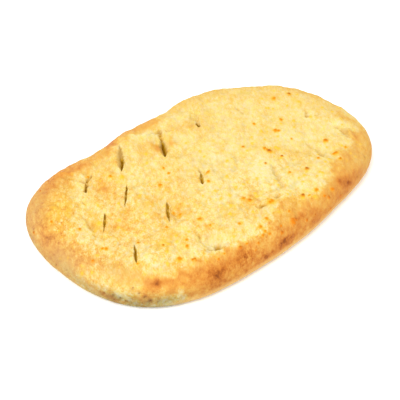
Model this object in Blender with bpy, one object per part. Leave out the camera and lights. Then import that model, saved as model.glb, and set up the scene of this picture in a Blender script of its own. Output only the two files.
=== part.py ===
"""Pizza bread: a flat oblong loaf of one piece, with a soft browned rim, knife slits and small blisters.

Units are metres and +Z is up. The loaf lies on its flat underside at z = 0, its long side runs
along X, and its outline is centred on the origin. Angles go round it from +X towards +Y.
"""

import math

import bmesh
import bpy
import numpy as np
from mathutils import Vector, noise
from mathutils.geometry import delaunay_2d_cdt

MM = 0.001
NAME = "pizza_bread"

# Outline: radius of the widest line every 18 degrees, joined by one smooth closed curve
OUTLINE_RADII = MM * np.array(
    (154, 150, 135, 118, 99, 96, 98, 113, 143, 155, 154, 153, 139, 116, 101, 96, 98, 108, 131, 150)
)

# Profile from the floor to the top of the rim
FOOT_INSET = 7 * MM  # how far the edge of the flat underside lies inside the widest line
WIDEST_HEIGHT = 9 * MM
RIM_HEIGHT = 25 * MM
SHOULDER_WIDTH = 24 * MM
SHOULDER_FULLNESS = 2.3  # 2 is an ellipse, and more is squarer
MIDDLE_DIP = 2 * MM  # how far the middle lies below the rim
DIP_RUN = 30 * MM

# Where the rim is thicker or thinner: angle in degrees, spread in degrees, extra height
RIM_CHANGES = (
    (225, 35, 3 * MM),
    (0, 50, -2 * MM),
)

# Swells and dents of the top: x, y, radius along the slits, radius across them, height
SWELLS = (
    (13, -38, 25, 17, 2.0),  # the large flat bubble in the right half
    (-64, -66, 9, 11, -5.0),  # finger dent by the near side
    (115, -38, 7, 14, -2.2),
    (82, -41, 7, 14, -1.6),
    (-117, 15, 12, 7, -2.0),
    (-58, -20, 11, 6, -2.4),  # hollow beside a slit
    (-92, 66, 11, 6, -3.0),  # fold that runs from a slit to the far side
    (44, 64, 14, 5, -1.8),
    (0, 60, 14, 6, -2.0),
    (-3, 74, 7, 7, -1.6),
    (-2, 33, 8, 12, -1.2),
    (-45, -62, 20, 14, 1.5),
    (70, 30, 30, 22, 1.0),
    (-110, -50, 22, 18, 1.5),
)

# Slow unevenness of the whole crust: wavelength, height
UNEVENNESS = (
    (52 * MM, 1.1 * MM),
    (23 * MM, 0.5 * MM),
)

# Knife slits: middle x and y, length, width, depth, direction in degrees
SLITS = (
    (-45, 62, 35, 3.4, 12, 51),
    (-7, 49, 28, 2.8, 11, 54),
    (-73, 23, 29, 2.0, 9, 46),
    (-106, 10, 19, 1.8, 8, 46),
    (-113, -35, 19, 2.2, 10, 53),
    (-15, -3, 19, 1.9, 8, 52),
    (-63, -15, 24, 2.2, 8, 52),
    (37, 54, 16, 1.6, 5, 55),
    (-87, 54, 13, 2.0, 7, 50),
)
SLIT_DIRECTION = math.radians(52)

# Blade that cuts a slit: its section, and how it closes towards its two ends
BLADE_TOP = 4 * MM  # how far it stands above the crust
BLADE_SECTION = (
    # share of the slit's half width, height above the crust, share of the slit's depth
    (1.15, BLADE_TOP, 0),
    (-1.15, BLADE_TOP, 0),
    (-0.75, 0, 0.7),
    (0, 0, 1),
    (0.75, 0, 0.7),
)
BLADE_STATIONS = 11
WIDTH_TAPER, TIP_WIDTH = 2.2, 0.06
DEPTH_TAPER, TIP_DEPTH = 4, 0.25

# Largest blisters: x, y, diameter
BLISTERS = (
    (126, 30, 3.4),
    (110, 33, 3.6),
    (122, 15, 3.8),
    (91, 7, 4.4),
    (76, 0, 3.6),
    (95, -39, 3.6),
    (88, -56, 3.4),
    (50, -17, 4.6),
    (39, 3, 3.2),
    (48, 1, 3.2),
    (54, -54, 3.4),
    (41, -48, 3.0),
    (38, -78, 3.6),
    (27, -74, 3.2),
    (3, -62, 4.2),
    (1, -89, 4.8),
    (-16, -91, 3.2),
    (-10, -45, 3.2),
    (-9, -51, 3.4),
    (-16, -75, 3.0),
    (-26, -78, 3.2),
    (-6, -2, 4.2),
    (-45, 12, 3.0),
    (-60, 40, 4.4),
    (-66, 48, 3.0),
    (-30, 18, 3.0),
    (-53, -40, 3.6),
    (-59, -25, 3.0),
    (-81, -56, 3.2),
    (-95, -62, 3.8),
    (-123, -67, 4.6),
    (-127, -14, 3.0),
)
BLISTER_RISE = 0.22  # height above the crust, as a share of the diameter
BLISTER_SIDES, BLISTER_RINGS = 8, 4

# Mesh spacing
GRID = 5.2 * MM
ROW_SPACING = math.sqrt(3) / 2  # between the rows of a triangular lattice, as a share of its spacing
OUTLINE_SAMPLES = 3600
SAME_POINT = 1e-7  # metres
RIM_STEPS = 160
FOOT_STEPS = 4
SHOULDER_STEPS = 7
DENT_GRID = 2.6 * MM
DENT_CENTRE = (-64 * MM, -66 * MM)
DENT_REACH = 15 * MM

CRUST_COLOUR = (0.78, 0.50, 0.19)
CRUST_ROUGHNESS = 0.72


def clear_scene():
    for obj in list(bpy.data.objects):
        bpy.data.objects.remove(obj)


def crust_material():
    material = bpy.data.materials.new("baked_crust")
    material.use_nodes = True
    shader = material.node_tree.nodes["Principled BSDF"]
    shader.inputs["Base Color"].default_value = (*CRUST_COLOUR, 1)
    shader.inputs["Roughness"].default_value = CRUST_ROUGHNESS
    shader.inputs["Metallic"].default_value = 0
    return material


def outline_radius(angles):
    """Radius of the widest line at these angles, on the smooth closed curve through OUTLINE_RADII."""
    waves = np.fft.rfft(OUTLINE_RADII) / len(OUTLINE_RADII)
    turns = np.arange(1, len(waves) - 1)
    phases = np.exp(1j * np.outer(angles, turns))
    last = waves[-1].real * np.cos((len(waves) - 1) * angles)
    return waves[0].real + 2 * (phases @ waves[1:-1]).real + last


def outline_points(count):
    """Evenly spaced points of the widest line, counter-clockwise, centred on the origin."""
    angles = np.linspace(0, 2 * np.pi, OUTLINE_SAMPLES, endpoint=False)
    radius = outline_radius(angles)
    line = np.column_stack([radius * np.cos(angles), radius * np.sin(angles)])
    line -= (line.min(axis=0) + line.max(axis=0)) / 2
    closed = np.vstack([line, line[:1]])
    travelled = np.concatenate([[0], np.cumsum(np.linalg.norm(np.diff(closed, axis=0), axis=1))])
    stops = np.linspace(0, travelled[-1], count, endpoint=False)
    return np.column_stack([np.interp(stops, travelled, closed[:, k]) for k in (0, 1)])


def inward_normals(line):
    along = np.roll(line, -1, axis=0) - np.roll(line, 1, axis=0)
    along /= np.linalg.norm(along, axis=1)[:, None]
    return np.column_stack([-along[:, 1], along[:, 0]])


def distance_inside(points, line):
    """How far each point lies inside the closed line."""
    step = np.roll(line, -1, axis=0) - line
    offset = points[:, None, :] - line[None, :, :]
    share = (offset * step).sum(axis=2) / (step * step).sum(axis=1)
    nearest = offset - np.clip(share, 0, 1)[:, :, None] * step
    return np.sqrt((nearest**2).sum(axis=2)).min(axis=1)


def smooth_step(value):
    value = np.clip(value, 0, 1)
    return value * value * (3 - 2 * value)


def rim_height(points):
    angles = np.degrees(np.arctan2(points[:, 1], points[:, 0]))
    height = np.full(len(points), RIM_HEIGHT)
    for angle, spread, extra in RIM_CHANGES:
        away = (angles - angle + 180) % 360 - 180
        height += extra * np.exp(-((away / spread) ** 2))
    return height


def swells(points):
    """Sum of the swells and dents, each an oval that lies along the slits."""
    along = np.array((math.cos(SLIT_DIRECTION), math.sin(SLIT_DIRECTION)))
    across = np.array((-along[1], along[0]))
    height = np.zeros(len(points))
    for x, y, length, width, rise in SWELLS:
        away = points / MM - (x, y)
        oval = (away @ along / length) ** 2 + (away @ across / width) ** 2
        height += rise * MM * np.exp(-oval)
    return height


def unevenness(points):
    height = np.zeros(len(points))
    for wavelength, rise in UNEVENNESS:
        height += [rise * noise.noise(Vector((x, y, 0)) / wavelength) for x, y in points]
    return height


def top_height(points, line):
    """Height of the crust above the floor, from the widest line inwards."""
    inside = distance_inside(points, line)
    run = 1 - np.clip(inside / SHOULDER_WIDTH, 0, 1)
    shoulder = (1 - run**SHOULDER_FULLNESS) ** (1 / SHOULDER_FULLNESS)
    dip = MIDDLE_DIP * smooth_step((inside - SHOULDER_WIDTH) / DIP_RUN)
    height = WIDEST_HEIGHT + (rim_height(points) - WIDEST_HEIGHT) * shoulder - dip
    return height + (swells(points) + unevenness(points)) * shoulder


def side_rings(line):
    """Rings of the side, from the edge of the underside up to the top of the rim."""
    inward = inward_normals(line)
    rings = []
    for angle in np.linspace(-90, 0, FOOT_STEPS, endpoint=False):
        inset = FOOT_INSET * (1 - math.cos(math.radians(angle)))
        height = WIDEST_HEIGHT * (1 + math.sin(math.radians(angle)))
        rings.append(np.column_stack([line + inward * inset, np.full(len(line), height)]))
    for angle in np.linspace(0, 90, SHOULDER_STEPS + 1):
        share = 1 - math.cos(math.radians(angle)) ** (2 / SHOULDER_FULLNESS)
        ring = line + inward * SHOULDER_WIDTH * share
        rings.append(np.column_stack([ring, top_height(ring, line)]))
    return rings


def lattice(spacing, centre, reach):
    """Points of a triangular lattice around a centre."""
    rows = int(reach[1] / spacing / ROW_SPACING) + 1
    columns = int(reach[0] / spacing) + 1
    return np.array(
        [
            (centre[0] + (i + (j % 2) / 2) * spacing, centre[1] + j * spacing * ROW_SPACING)
            for j in range(-rows, rows + 1)
            for i in range(-columns, columns + 1)
        ]
    )


def middle_points(line):
    """Points of the top inside the rim, closer together in the finger dent."""
    coarse = lattice(GRID, (0, 0), np.abs(line).max(axis=0))
    fine = lattice(DENT_GRID, DENT_CENTRE, (DENT_REACH, DENT_REACH))
    coarse = coarse[np.linalg.norm(coarse - DENT_CENTRE, axis=1) > DENT_REACH]
    fine = fine[np.linalg.norm(fine - DENT_CENTRE, axis=1) < DENT_REACH - DENT_GRID / 2]
    points = np.vstack([coarse, fine])
    radius = np.hypot(points[:, 0], points[:, 1])
    within = radius < outline_radius(np.arctan2(points[:, 1], points[:, 0]))
    return points[within & (distance_inside(points, line) > SHOULDER_WIDTH + GRID / 2)]


def loaf_mesh():
    """The loaf before its blisters and slits: rings up the side, and triangles across the top."""
    line = outline_points(RIM_STEPS)
    rings = side_rings(line)
    rim = rings[-1][:, :2]
    middle = middle_points(line)
    flat = [Vector(p) for p in np.vstack([rim, middle])]
    border = [(i, (i + 1) % RIM_STEPS) for i in range(RIM_STEPS)]
    triangles = delaunay_2d_cdt(flat, border, [], 1, SAME_POINT)[2]

    shape = bmesh.new()
    layers = [[shape.verts.new(p) for p in ring] for ring in rings]
    top = np.column_stack([middle, top_height(middle, line)])
    crown = layers[-1] + [shape.verts.new(p) for p in top]
    for low, high in zip(layers, layers[1:]):
        for i in range(RIM_STEPS):
            j = (i + 1) % RIM_STEPS
            shape.faces.new((low[i], low[j], high[j], high[i]))
    for corners in triangles:
        shape.faces.new([crown[i] for i in corners])
    shape.faces.new(reversed(layers[0]))
    bmesh.ops.recalc_face_normals(shape, faces=shape.faces)
    mesh = bpy.data.meshes.new(NAME)
    shape.to_mesh(mesh)
    shape.free()
    return mesh


def add_object(name, mesh, collection=None):
    obj = bpy.data.objects.new(name, mesh)
    (collection or bpy.context.scene.collection).objects.link(obj)
    return obj


def blister(x, y, diameter, line):
    """A low round dome, half sunk in the crust."""
    place = np.array([(x * MM, y * MM)])
    shape = bmesh.new()
    size = {"u_segments": BLISTER_SIDES, "v_segments": BLISTER_RINGS, "radius": diameter * MM / 2}
    bmesh.ops.create_uvsphere(shape, **size)
    bmesh.ops.scale(shape, vec=(1, 1, 2 * BLISTER_RISE), verts=shape.verts)
    bmesh.ops.translate(shape, vec=(*place[0], top_height(place, line)[0]), verts=shape.verts)
    mesh = bpy.data.meshes.new("blister")
    shape.to_mesh(mesh)
    shape.free()
    return mesh


def fuse_blisters(loaf, line):
    """Joins the blisters to the loaf with one union, and removes their own objects."""
    collection = bpy.data.collections.new("blisters")
    bpy.context.scene.collection.children.link(collection)
    for number, (x, y, diameter) in enumerate(BLISTERS):
        add_object(f"blister_{number}", blister(x, y, diameter, line), collection)
    union = loaf.modifiers.new("blisters", "BOOLEAN")
    union.operation = "UNION"
    union.operand_type = "COLLECTION"
    union.collection = collection
    graph = bpy.context.evaluated_depsgraph_get()
    joined = bpy.data.meshes.new_from_object(loaf.evaluated_get(graph))
    loaf.modifiers.clear()
    loaf.data = joined
    for obj in list(collection.objects):
        bpy.data.objects.remove(obj)
    bpy.data.collections.remove(collection)


def slit_cutter(x, y, length, width, depth, direction, line):
    """A blade-shaped solid: pointed at both ends, deepest in the middle, and narrower downwards."""
    stations = np.linspace(-1, 1, BLADE_STATIONS)
    way = np.array((math.cos(math.radians(direction)), math.sin(math.radians(direction))))
    side = np.array((-way[1], way[0]))
    places = MM * np.array((x, y)) + np.outer(stations * length * MM / 2, way)
    surface = top_height(places, line)
    half = width * MM / 2 * np.maximum(1 - np.abs(stations) ** WIDTH_TAPER, TIP_WIDTH)
    down = depth * MM * np.maximum(1 - np.abs(stations) ** DEPTH_TAPER, TIP_DEPTH)

    shape = bmesh.new()
    loops = []
    for place, top, reach, sunk in zip(places, surface, half, down):
        loops.append(
            [
                shape.verts.new((*(place + side * reach * wide), top + raised - sunk * lower))
                for wide, raised, lower in BLADE_SECTION
            ]
        )
    for first, second in zip(loops, loops[1:]):
        for i in range(len(BLADE_SECTION)):
            j = (i + 1) % len(BLADE_SECTION)
            shape.faces.new((first[i], first[j], second[j], second[i]))
    shape.faces.new(loops[0])
    shape.faces.new(loops[-1])
    bmesh.ops.recalc_face_normals(shape, faces=shape.faces)
    mesh = bpy.data.meshes.new("slit_cutter")
    shape.to_mesh(mesh)
    shape.free()
    return mesh


def cut_slits(loaf, line):
    """Takes the knife slits out of the loaf. The cutters stay in the file as hidden guides."""
    collection = bpy.data.collections.new("slit_cutters")
    bpy.context.scene.collection.children.link(collection)
    for number, slit in enumerate(SLITS):
        cutter = add_object(f"slit_cutter_{number}", slit_cutter(*slit, line), collection)
        cutter.hide_render = True
        cutter.display_type = "WIRE"
    cut = loaf.modifiers.new("slits", "BOOLEAN")
    cut.operation = "DIFFERENCE"
    cut.operand_type = "COLLECTION"
    cut.collection = collection


def build():
    clear_scene()
    line = outline_points(RIM_STEPS)
    loaf = add_object(NAME, loaf_mesh())
    fuse_blisters(loaf, line)
    cut_slits(loaf, line)
    loaf.data.materials.clear()
    loaf.data.materials.append(crust_material())
    loaf.data.shade_smooth()


build()
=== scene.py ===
"""Pizza bread: the look of the loaf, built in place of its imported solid.

The loaf lies on the floor at z = 0 with its long side along X, as the solid does. Lengths in the
lists and in the shape functions are millimetres, and the meshes are in metres. A place marked as
photo is a pixel of the 400 x 400 photograph, which on_loaf() carries onto the crust.
"""

import math
from collections import namedtuple

import bpy
import numpy as np
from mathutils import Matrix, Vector, noise
from mathutils.geometry import delaunay_2d_cdt


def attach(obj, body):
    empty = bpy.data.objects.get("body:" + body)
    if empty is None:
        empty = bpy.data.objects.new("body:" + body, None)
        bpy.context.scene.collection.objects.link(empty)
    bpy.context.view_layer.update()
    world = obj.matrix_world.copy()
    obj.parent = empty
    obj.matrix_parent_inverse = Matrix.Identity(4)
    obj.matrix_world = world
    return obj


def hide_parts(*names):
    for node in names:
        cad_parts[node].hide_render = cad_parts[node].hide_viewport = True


MM = 0.001

# Camera: degrees and millimetres
IMAGE_SIZE = 400
VIEW_AZIMUTH = -44.5
VIEW_ELEVATION = 38.5
VIEW_DISTANCE = 910
AIM_RIGHT = -8.9
AIM_UP = -7.0
LENS = 100
SENSOR = 36

# Outline: radius of the widest line every 18 degrees
OUTLINE_RADII = np.array(
    (154, 150, 135, 118, 99, 96, 98, 113, 143, 155, 154, 153, 139, 116, 101, 96, 98, 108, 131, 150)
)
OUTLINE_SAMPLES = 3600
COARSE_STEPS = 160

# Profile from the floor to the top of the rim
FOOT_INSET = 7
WIDEST_HEIGHT = 9
RIM_HEIGHT = 25
SHOULDER_WIDTH = 24
SHOULDER_FULLNESS = 2.3
MIDDLE_DIP = 2
DIP_RUN = 30

# Where the rim is thicker or thinner: angle in degrees, spread in degrees, extra height
RIM_CHANGES = (
    (225, 35, 3),
    (0, 50, -2),
)

# Swells and dents of the top: x, y, radius along the slits, radius across them, height
SWELLS = (
    (13, -38, 25, 17, 2.0),
    (-64, -66, 9, 11, -5.0),
    (115, -38, 7, 14, -2.2),
    (82, -41, 7, 14, -1.6),
    (-117, 15, 12, 7, -2.0),
    (-58, -20, 11, 6, -2.4),
    (-92, 66, 11, 6, -3.0),
    (44, 64, 14, 5, -1.8),
    (0, 60, 14, 6, -2.0),
    (-3, 74, 7, 7, -1.6),
    (-2, 33, 8, 12, -1.2),
    (-45, -62, 20, 14, 1.5),
    (70, 30, 30, 22, 1.0),
    (-110, -50, 22, 18, 1.5),
)
SLIT_DIRECTION = math.radians(52)

# Slow unevenness of the whole crust: wavelength, height
UNEVENNESS = (
    (52, 1.1),
    (23, 0.5),
)

# Lumps of the crust: wavelength, height, shift of the noise, share in the colour
CRUST_LUMPS = (
    (15, 1.2, 0, 0.25),
    (6.5, 0.85, 40, 0.6),
    (2.8, 0.40, 80, 0.9),
)
GRAIN_STRETCH = 1.7  # the lumps and the grain are longer from front to back of the photograph's view
RIM_CALM = 0.3  # share of the lumps that is left on the side wall

# Knife slits: middle x and y, length, width, depth, direction in degrees, place along the slit
# where it is widest, place across it where it is deepest, share of its width that is a deep crack,
# place along it where the crack ends, and where strands of crumb bridge it. Places run from -1 at
# the near end or the left side to 1
Slit = namedtuple("Slit", "x y length width depth direction widest deepest crack_share crack_end bridges")
SLIT_ROWS = (
    (-43.9, 60.9, 35, 7.6, 5.2, 51, -0.3, 0.40, 0.42, -0.05, ()),
    (-7.0, 49.2, 30, 7.6, 6.0, 54, -0.35, 0.15, 0.46, 0.60, ()),
    (-72, 22, 29, 2.4, 3.2, 45, 0.1, 0.1, 0.90, 1.0, (0.03, -0.7)),
    (-105.8, 8.2, 23, 2.6, 3.2, 47, 0.2, 0.0, 0.90, 1.0, (0.25, -0.62)),
    (-114.8, -36.8, 25, 3.3, 3.6, 52, -0.3, 0.2, 0.85, 1.0, ()),
    (-14.4, -3.6, 19, 4.8, 3.8, 52, -0.55, 0.2, 0.66, 0.9, (0.17,)),
    (-62.2, -15.6, 26, 3.9, 3.4, 52, 0.0, 0.0, 0.80, 1.0, (0.32, -0.58)),
    (36.2, 52.2, 8, 4.0, 5.0, 55, -0.3, 0.0, 0.9, 0.9, ()),
    (-86.4, 53.4, 14, 2.4, 2.4, 50, -0.5, 0.0, 0.80, 0.6, (0.1,)),
)
SLITS = [Slit(*row) for row in SLIT_ROWS]
WIDTH_TAPER = 2.2
TIP_WIDTH = 0.08
DEPTH_TAPER = 4
TIP_DEPTH = 0.2
HOLLOW_DEPTH = 0.34  # depth of the open groove above the crack, as a share of the slit's depth
CRACK_SHARPNESS = 0.7
CRACK_FADE = 0.3  # run over which a crack ends, as a share of half the slit's length
BRIDGE_WIDTH = 0.9
BRIDGE_FILL = 0.9  # share of the crack that a strand of crumb fills
SLIT_LIP = 0.5
SLIT_LIP_WIDTH = 1.3
LIP_END, LIP_TAPER = 1.1, 4  # the lips end where the place along a slit, to the power LIP_TAPER, is LIP_END
TIP_SHARPNESS = 3  # how much faster a slit closes past its ends than past its sides
SLIT_MARGIN = 6  # how far past a slit's ends its shape is worked out

# Noise of a slit's edges: wavelength along it, step from slit to slit, layer
RAGGED_EDGE = (4.0, 7.3, 0.0)
SIDEWAYS_DRIFT = (9.0, 3.1, 5.0)
TORN_EDGE = (1.7, 5.9, 9.0)
RAGGED_SHARE = 0.35
TORN_SHARE = 0.4
DRIFT_REACH = 0.5

# Creases: lines of photo x, photo y, width, depth. A depth below zero is a ridge
CREASE_WANDER = 1.1  # how far noise bends a crease out of its line
WANDER_WAVELENGTH = 5
WANDER_LAYERS = (20.0, 47.0, 74.0)  # heights in the noise for the three directions of the shift
CREASE_TEAR = 0.8  # how much its depth varies
TEAR_WAVELENGTH = 3
CREASE_MARGIN = 8
SHARP_WIDTH = 1.5  # a crease wider than this is less coloured inside
HOLLOW_FULL = 4  # depth at which a crease counts as fully hollow
CREASES = (
    ((211, 249.4, 1.4, 3.5), (213.5, 249.3, 2, 9.5), (217, 248, 2, 9.5), (218.6, 246, 1.4, 3)),
    ((200, 252, 1.8, -0.8), (208, 253.6, 1.7, -1.7), (217, 251.4, 1.8, -1.7), (228, 244, 2, -0.8)),
    ((217.2, 247.6, 1.4, 6), (217, 245.2, 1.7, 4.5), (216.4, 242.4, 1.4, 1)),
    ((198.4, 231.5, 1.4, 1), (199.5, 235, 1.4, 1.8), (200.6, 239, 1.5, 1.8), (202.3, 243, 1.6, 1)),
    ((257, 207, 1, 1.2), (261, 207, 0.9, 3.3), (265.5, 204.3, 0.9, 3), (268, 203, 1, 0.9)),
    ((237.5, 201, 1.6, 0.9), (240, 204, 1.5, 1.5), (243, 209, 1.8, 1.2), (246, 213, 2, 0.6)),
    (
        (272.8, 165, 1.6, 1.4), (275, 170, 1.9, 2.6), (277, 174, 2, 2.6), (280.7, 178.6, 2, 2.6),
        (283, 184, 2.2, 1.8),
    ),
    ((275.6, 197, 1.2, 1.4), (279, 195.5, 1.1, 2), (282.8, 193, 1.2, 0.9)),
    ((335, 126.5, 1.6, 1), (340, 128.5, 1.6, 2.6), (345, 132, 1.6, 2.2), (350, 137.5, 1.6, 0.6)),
    ((339, 126.5, 1.8, -1), (347, 130.5, 2.2, -2.2), (355, 138, 2.2, -1.6)),
    ((306.5, 140.5, 1.8, 1), (310, 144, 2, 3.6), (313, 146.5, 2, 1.6), (316, 147, 2.2, 1.4)),
    ((316, 147, 2.2, 1.4), (320, 150.5, 2.4, 3.2), (325, 154.5, 2.4, 2.4), (327, 156, 2.2, 0.8)),
    ((303, 108, 1.1, 0.8), (305.5, 112, 1, 1.5), (307, 116.2, 1.1, 4.2)),
    ((313.5, 117, 1.3, 1), (318, 114.5, 1.3, 1.2), (322, 112.5, 1.4, 0.6)),
    (
        (84.5, 215, 2, 1), (87.5, 219.5, 1.8, 1.8), (91, 227, 1.8, 1.8), (94.8, 231, 1.8, 2),
        (95, 238, 1.5, 1),
    ),
    ((82.7, 201, 1.1, 0.8), (84, 202.8, 1.1, 2.2), (85.5, 205, 1.1, 0.8)),
    ((41, 209, 1.4, -0.6), (48, 207.6, 1.4, -1), (56, 209, 1.4, -0.5)),
    ((62, 214.5, 1, 0.6), (68, 216.2, 1, 1.4), (74, 220, 1, 0.5)),
    ((233, 149, 1.6, 0.6), (236, 155, 1.6, 1.2), (236.8, 164, 1.4, 1.2), (235, 171, 1.4, 0.5)),
    ((211, 150, 1.6, 0.6), (215, 152, 1.6, 1.2), (219, 152, 1.6, 0.5)),
    ((111.7, 246.7, 1.3, 1.2), (116, 245, 1.2, 1.8), (122, 242.8, 1.3, 1)),
    ((236, 107, 1.5, 1.2), (242, 113, 1.5, 1.2)),
    ((137, 135.5, 2, 1), (147, 133.8, 2, 1.8), (155, 132.4, 1.9, 2.2), (160, 131.5, 1.6, 2.6)),
    ((122, 138.5, 1.8, -1), (138, 137, 2, -2.4), (153, 134.5, 1.8, -2.1)),
    ((166, 130.5, 1.4, 1.5), (170, 130, 1.4, 1.5)),
    ((160, 131.5, 1.5, 2.2), (160.6, 135, 1.6, 3.2), (162, 139.5, 1.4, 2.6)),
    ((170, 157, 1.6, 0.6), (183, 155, 1.7, 1.2), (195, 150, 1.7, 0.9)),
    ((135, 186, 1.5, 0.8), (145, 182, 1.6, 1.4), (155, 178.5, 1.6, 0.8)),
    ((240, 185, 2.4, 0.4), (245, 203, 2.6, 1), (250, 222, 2.4, 0.6)),
    ((198, 163, 1, 0.8), (198.8, 168, 0.9, 1.8), (199.3, 171, 0.9, 3)),
    ((195, 110, 1.2, 0.8), (196.3, 116, 1.2, 1.2), (198, 122, 1.3, 1.6), (199, 125.5, 1.3, 3)),
    ((60, 176.5, 2.4, 0.6), (70, 177.5, 2.4, 2.1), (79, 179.5, 2, 2.7), (84.5, 182, 1.4, 2.4)),
    ((62, 174, 2.2, -0.9), (73, 174.2, 2.4, -1.4), (82, 176.5, 2, -0.9)),
    ((86.3, 184, 1.1, 3), (87.5, 180, 1.1, 3.2), (89.2, 177.4, 1.1, 2.8), (92.3, 174.6, 1, 2.2)),
    ((86.4, 184, 1, 2.6), (86, 187.5, 1.1, 3.2), (85.6, 190.8, 1.2, 3.6)),
    ((96, 165, 2.4, 0.8), (107, 158, 2.6, 1.2), (116, 150, 2.4, 0.6)),
    ((172, 209, 3, 1.2), (176, 215, 3.2, 1.5), (178, 221, 3, 0.9)),
)

# Toasted blisters, and the small burnt pits of the rim: photo x, photo y, diameter
DARK_BLISTERS = (
    (289, 93.5, 3.4), (269.8, 151.5, 3.8), (281.7, 156, 2.2), (307, 168.3, 3.6), (303.2, 194.5, 3.4),
    (265.5, 164, 1.8), (315.6, 214.8, 1.4), (138.3, 242.6, 1.8), (163.3, 245, 1.8), (33.7, 232.7, 2.2),
)
RED_BLISTERS = (
    (325.6, 140, 4), (336, 152.8, 3.4), (295.8, 219.8, 3.4), (282, 232.5, 2.8), (240.5, 247.3, 3),
    (195, 258.8, 2.6), (193, 259.3, 2.2), (306.8, 220, 2.4), (330.5, 208.5, 2.2), (243, 146.5, 2.6),
    (328.5, 197.3, 3), (340.5, 195.8, 2.2), (340.3, 158.8, 2.6), (250, 200.6, 3.4),
)
ORANGE_BLISTERS = (
    (208, 172, 3.6), (208.7, 181.5, 2.6), (110.5, 177, 2.6), (160, 185.5, 3.2), (281, 119.5, 3),
    (274, 99, 3.4), (275.5, 130.5, 3.8), (243.5, 198.5, 3), (334.3, 153.3, 2.6), (266.5, 218.5, 3),
    (260.5, 227, 3.2), (316.2, 190.5, 3), (332, 189.3, 3.4), (324, 196.2, 2.6), (264.3, 148.8, 3),
    (318.2, 157.2, 2.8), (267.2, 150.4, 2.8), (254, 124, 2.4), (199.8, 220, 3.8), (180, 213.7, 2.8),
    (166.6, 226.7, 2.4), (187, 246.5, 3), (179.5, 258.7, 3.8), (102.5, 248.5, 2.4), (106.5, 248.7, 2.6),
    (163.5, 169, 2.4), (168.8, 174, 2.4), (79.7, 229, 2.6), (93, 261, 2.8), (138, 242.5, 1.6),
    (239.5, 223.5, 2.6), (272, 201, 3), (278.3, 131.2, 2.8), (291.6, 139, 2), (345.5, 147, 2.4),
    (293, 222.5, 4.4), (292.4, 219.5, 3), (258, 243.5, 2.2), (255.5, 250, 1.6), (262.5, 236, 2.4),
    (265, 231, 2.2), (269.5, 234, 2.4), (224.5, 253, 1.8), (218.5, 259, 2), (247, 243.5, 1.8),
    (281, 226, 1.8), (289, 211, 2), (290, 172.5, 2.4), (270, 202.5, 2.6), (309, 195.3, 1.8),
    (186.8, 240.3, 2.2), (88, 176, 1.8), (51.5, 222, 2.2), (40, 190.5, 2), (173.5, 211.7, 1.8),
    (210.3, 225.3, 2), (137.5, 264, 1.8),
)
YELLOW_BLISTERS = (
    (122.5, 178, 4.2), (299, 102, 3.8), (257, 178, 2.6), (266, 108, 2.4), (273, 108.5, 2.4),
    (322.3, 107.5, 2.6), (332.3, 111.8, 2.4), (340.5, 118.5, 2.4), (342, 125, 2.2), (297.5, 94.6, 2.6),
    (188.5, 232.5, 2.8), (177, 241.5, 2.8), (234, 237, 2.6), (255.5, 193.5, 3.4), (257, 196.5, 2.6),
    (252, 143.5, 3), (251.5, 137, 2.4), (247, 151, 2.4), (176, 235.5, 2.4), (168.5, 243.5, 2.4),
    (167, 251.5, 2.4), (167.5, 263.5, 2.8), (82, 273, 3), (92, 272.5, 2.6), (342, 146, 2.2),
    (350.7, 153, 2), (355.8, 156.5, 2.2), (360.5, 144.5, 2), (326.5, 146.5, 2.2), (287.5, 166.5, 2.4),
    (276.5, 181, 2.4), (278.5, 184.5, 2.2), (287.5, 194, 2.2), (293, 215.5, 2.4), (253, 212, 2.6),
    (279, 212, 2.8), (140, 196, 3.2), (146, 214, 3), (119, 220, 3.2), (98, 206, 2.8), (227, 161.5, 2.8),
    (231.5, 159, 2.2), (203, 195.5, 2.6), (227, 176.5, 2.8), (236, 187.5, 3), (243.3, 184.5, 2.6),
    (229.5, 195.5, 3.4), (231, 205, 3.2), (230.5, 213.5, 3.4), (200, 151, 3.6), (204, 156, 2.4),
    (186, 143, 2.4), (146, 154, 2.4), (147, 163, 2.6), (119, 203.5, 2.6), (318.4, 153.5, 2.4),
    (328.6, 158.6, 3), (325.5, 161.3, 2.6), (319.6, 172.3, 2.8), (322.3, 173.6, 3.4), (315.5, 197.5, 3.6),
    (303, 197.2, 2.8), (294.5, 214.8, 3.4), (293, 216.8, 3), (306.8, 171, 2.6), (325, 142, 2.6),
    (261.5, 131.3, 3), (264.6, 140, 3), (277.5, 136.5, 2.8), (275.6, 147.3, 3.4), (278, 148.8, 3),
    (294, 127, 3), (281, 123.5, 2.8), (281, 158, 2.6), (305, 175.3, 3), (294, 120, 2.4), (287, 106, 2.2),
    (262, 99, 2.2), (310.5, 117.8, 3), (268.5, 108, 2.4), (317, 176.2, 3), (298.8, 178, 2.6),
    (302.8, 181.8, 2.4), (97, 256, 2.6), (118.5, 227, 2.4), (99, 223.5, 3.4), (94.5, 230, 2.4),
    (84.5, 204, 2.2), (60, 258.5, 2.4), (68, 258, 2.2), (82.5, 266, 2.8), (215.5, 190.5, 3),
    (221, 198.5, 2.6),
)
PITS = (
    (30.3, 235.8, 1.8), (40, 190.8, 1.4), (53.3, 255.3, 1.6), (55.8, 265, 1.8), (67, 270, 1.6),
    (132.8, 288.5, 2), (139, 293.7, 2), (145.6, 297.3, 2.8), (150.5, 301.6, 3.6), (127, 302, 2.6),
    (120, 299, 2.6), (113, 296, 2.6), (104, 293, 2.2), (158, 303, 2.2), (45, 258, 1.2), (92, 288, 1.2),
    (348.6, 182.6, 2.8), (365.4, 157.3, 1.8), (357.6, 176.8, 1.4), (340.6, 196, 1.6), (315.5, 214.6, 1.6),
)
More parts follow.
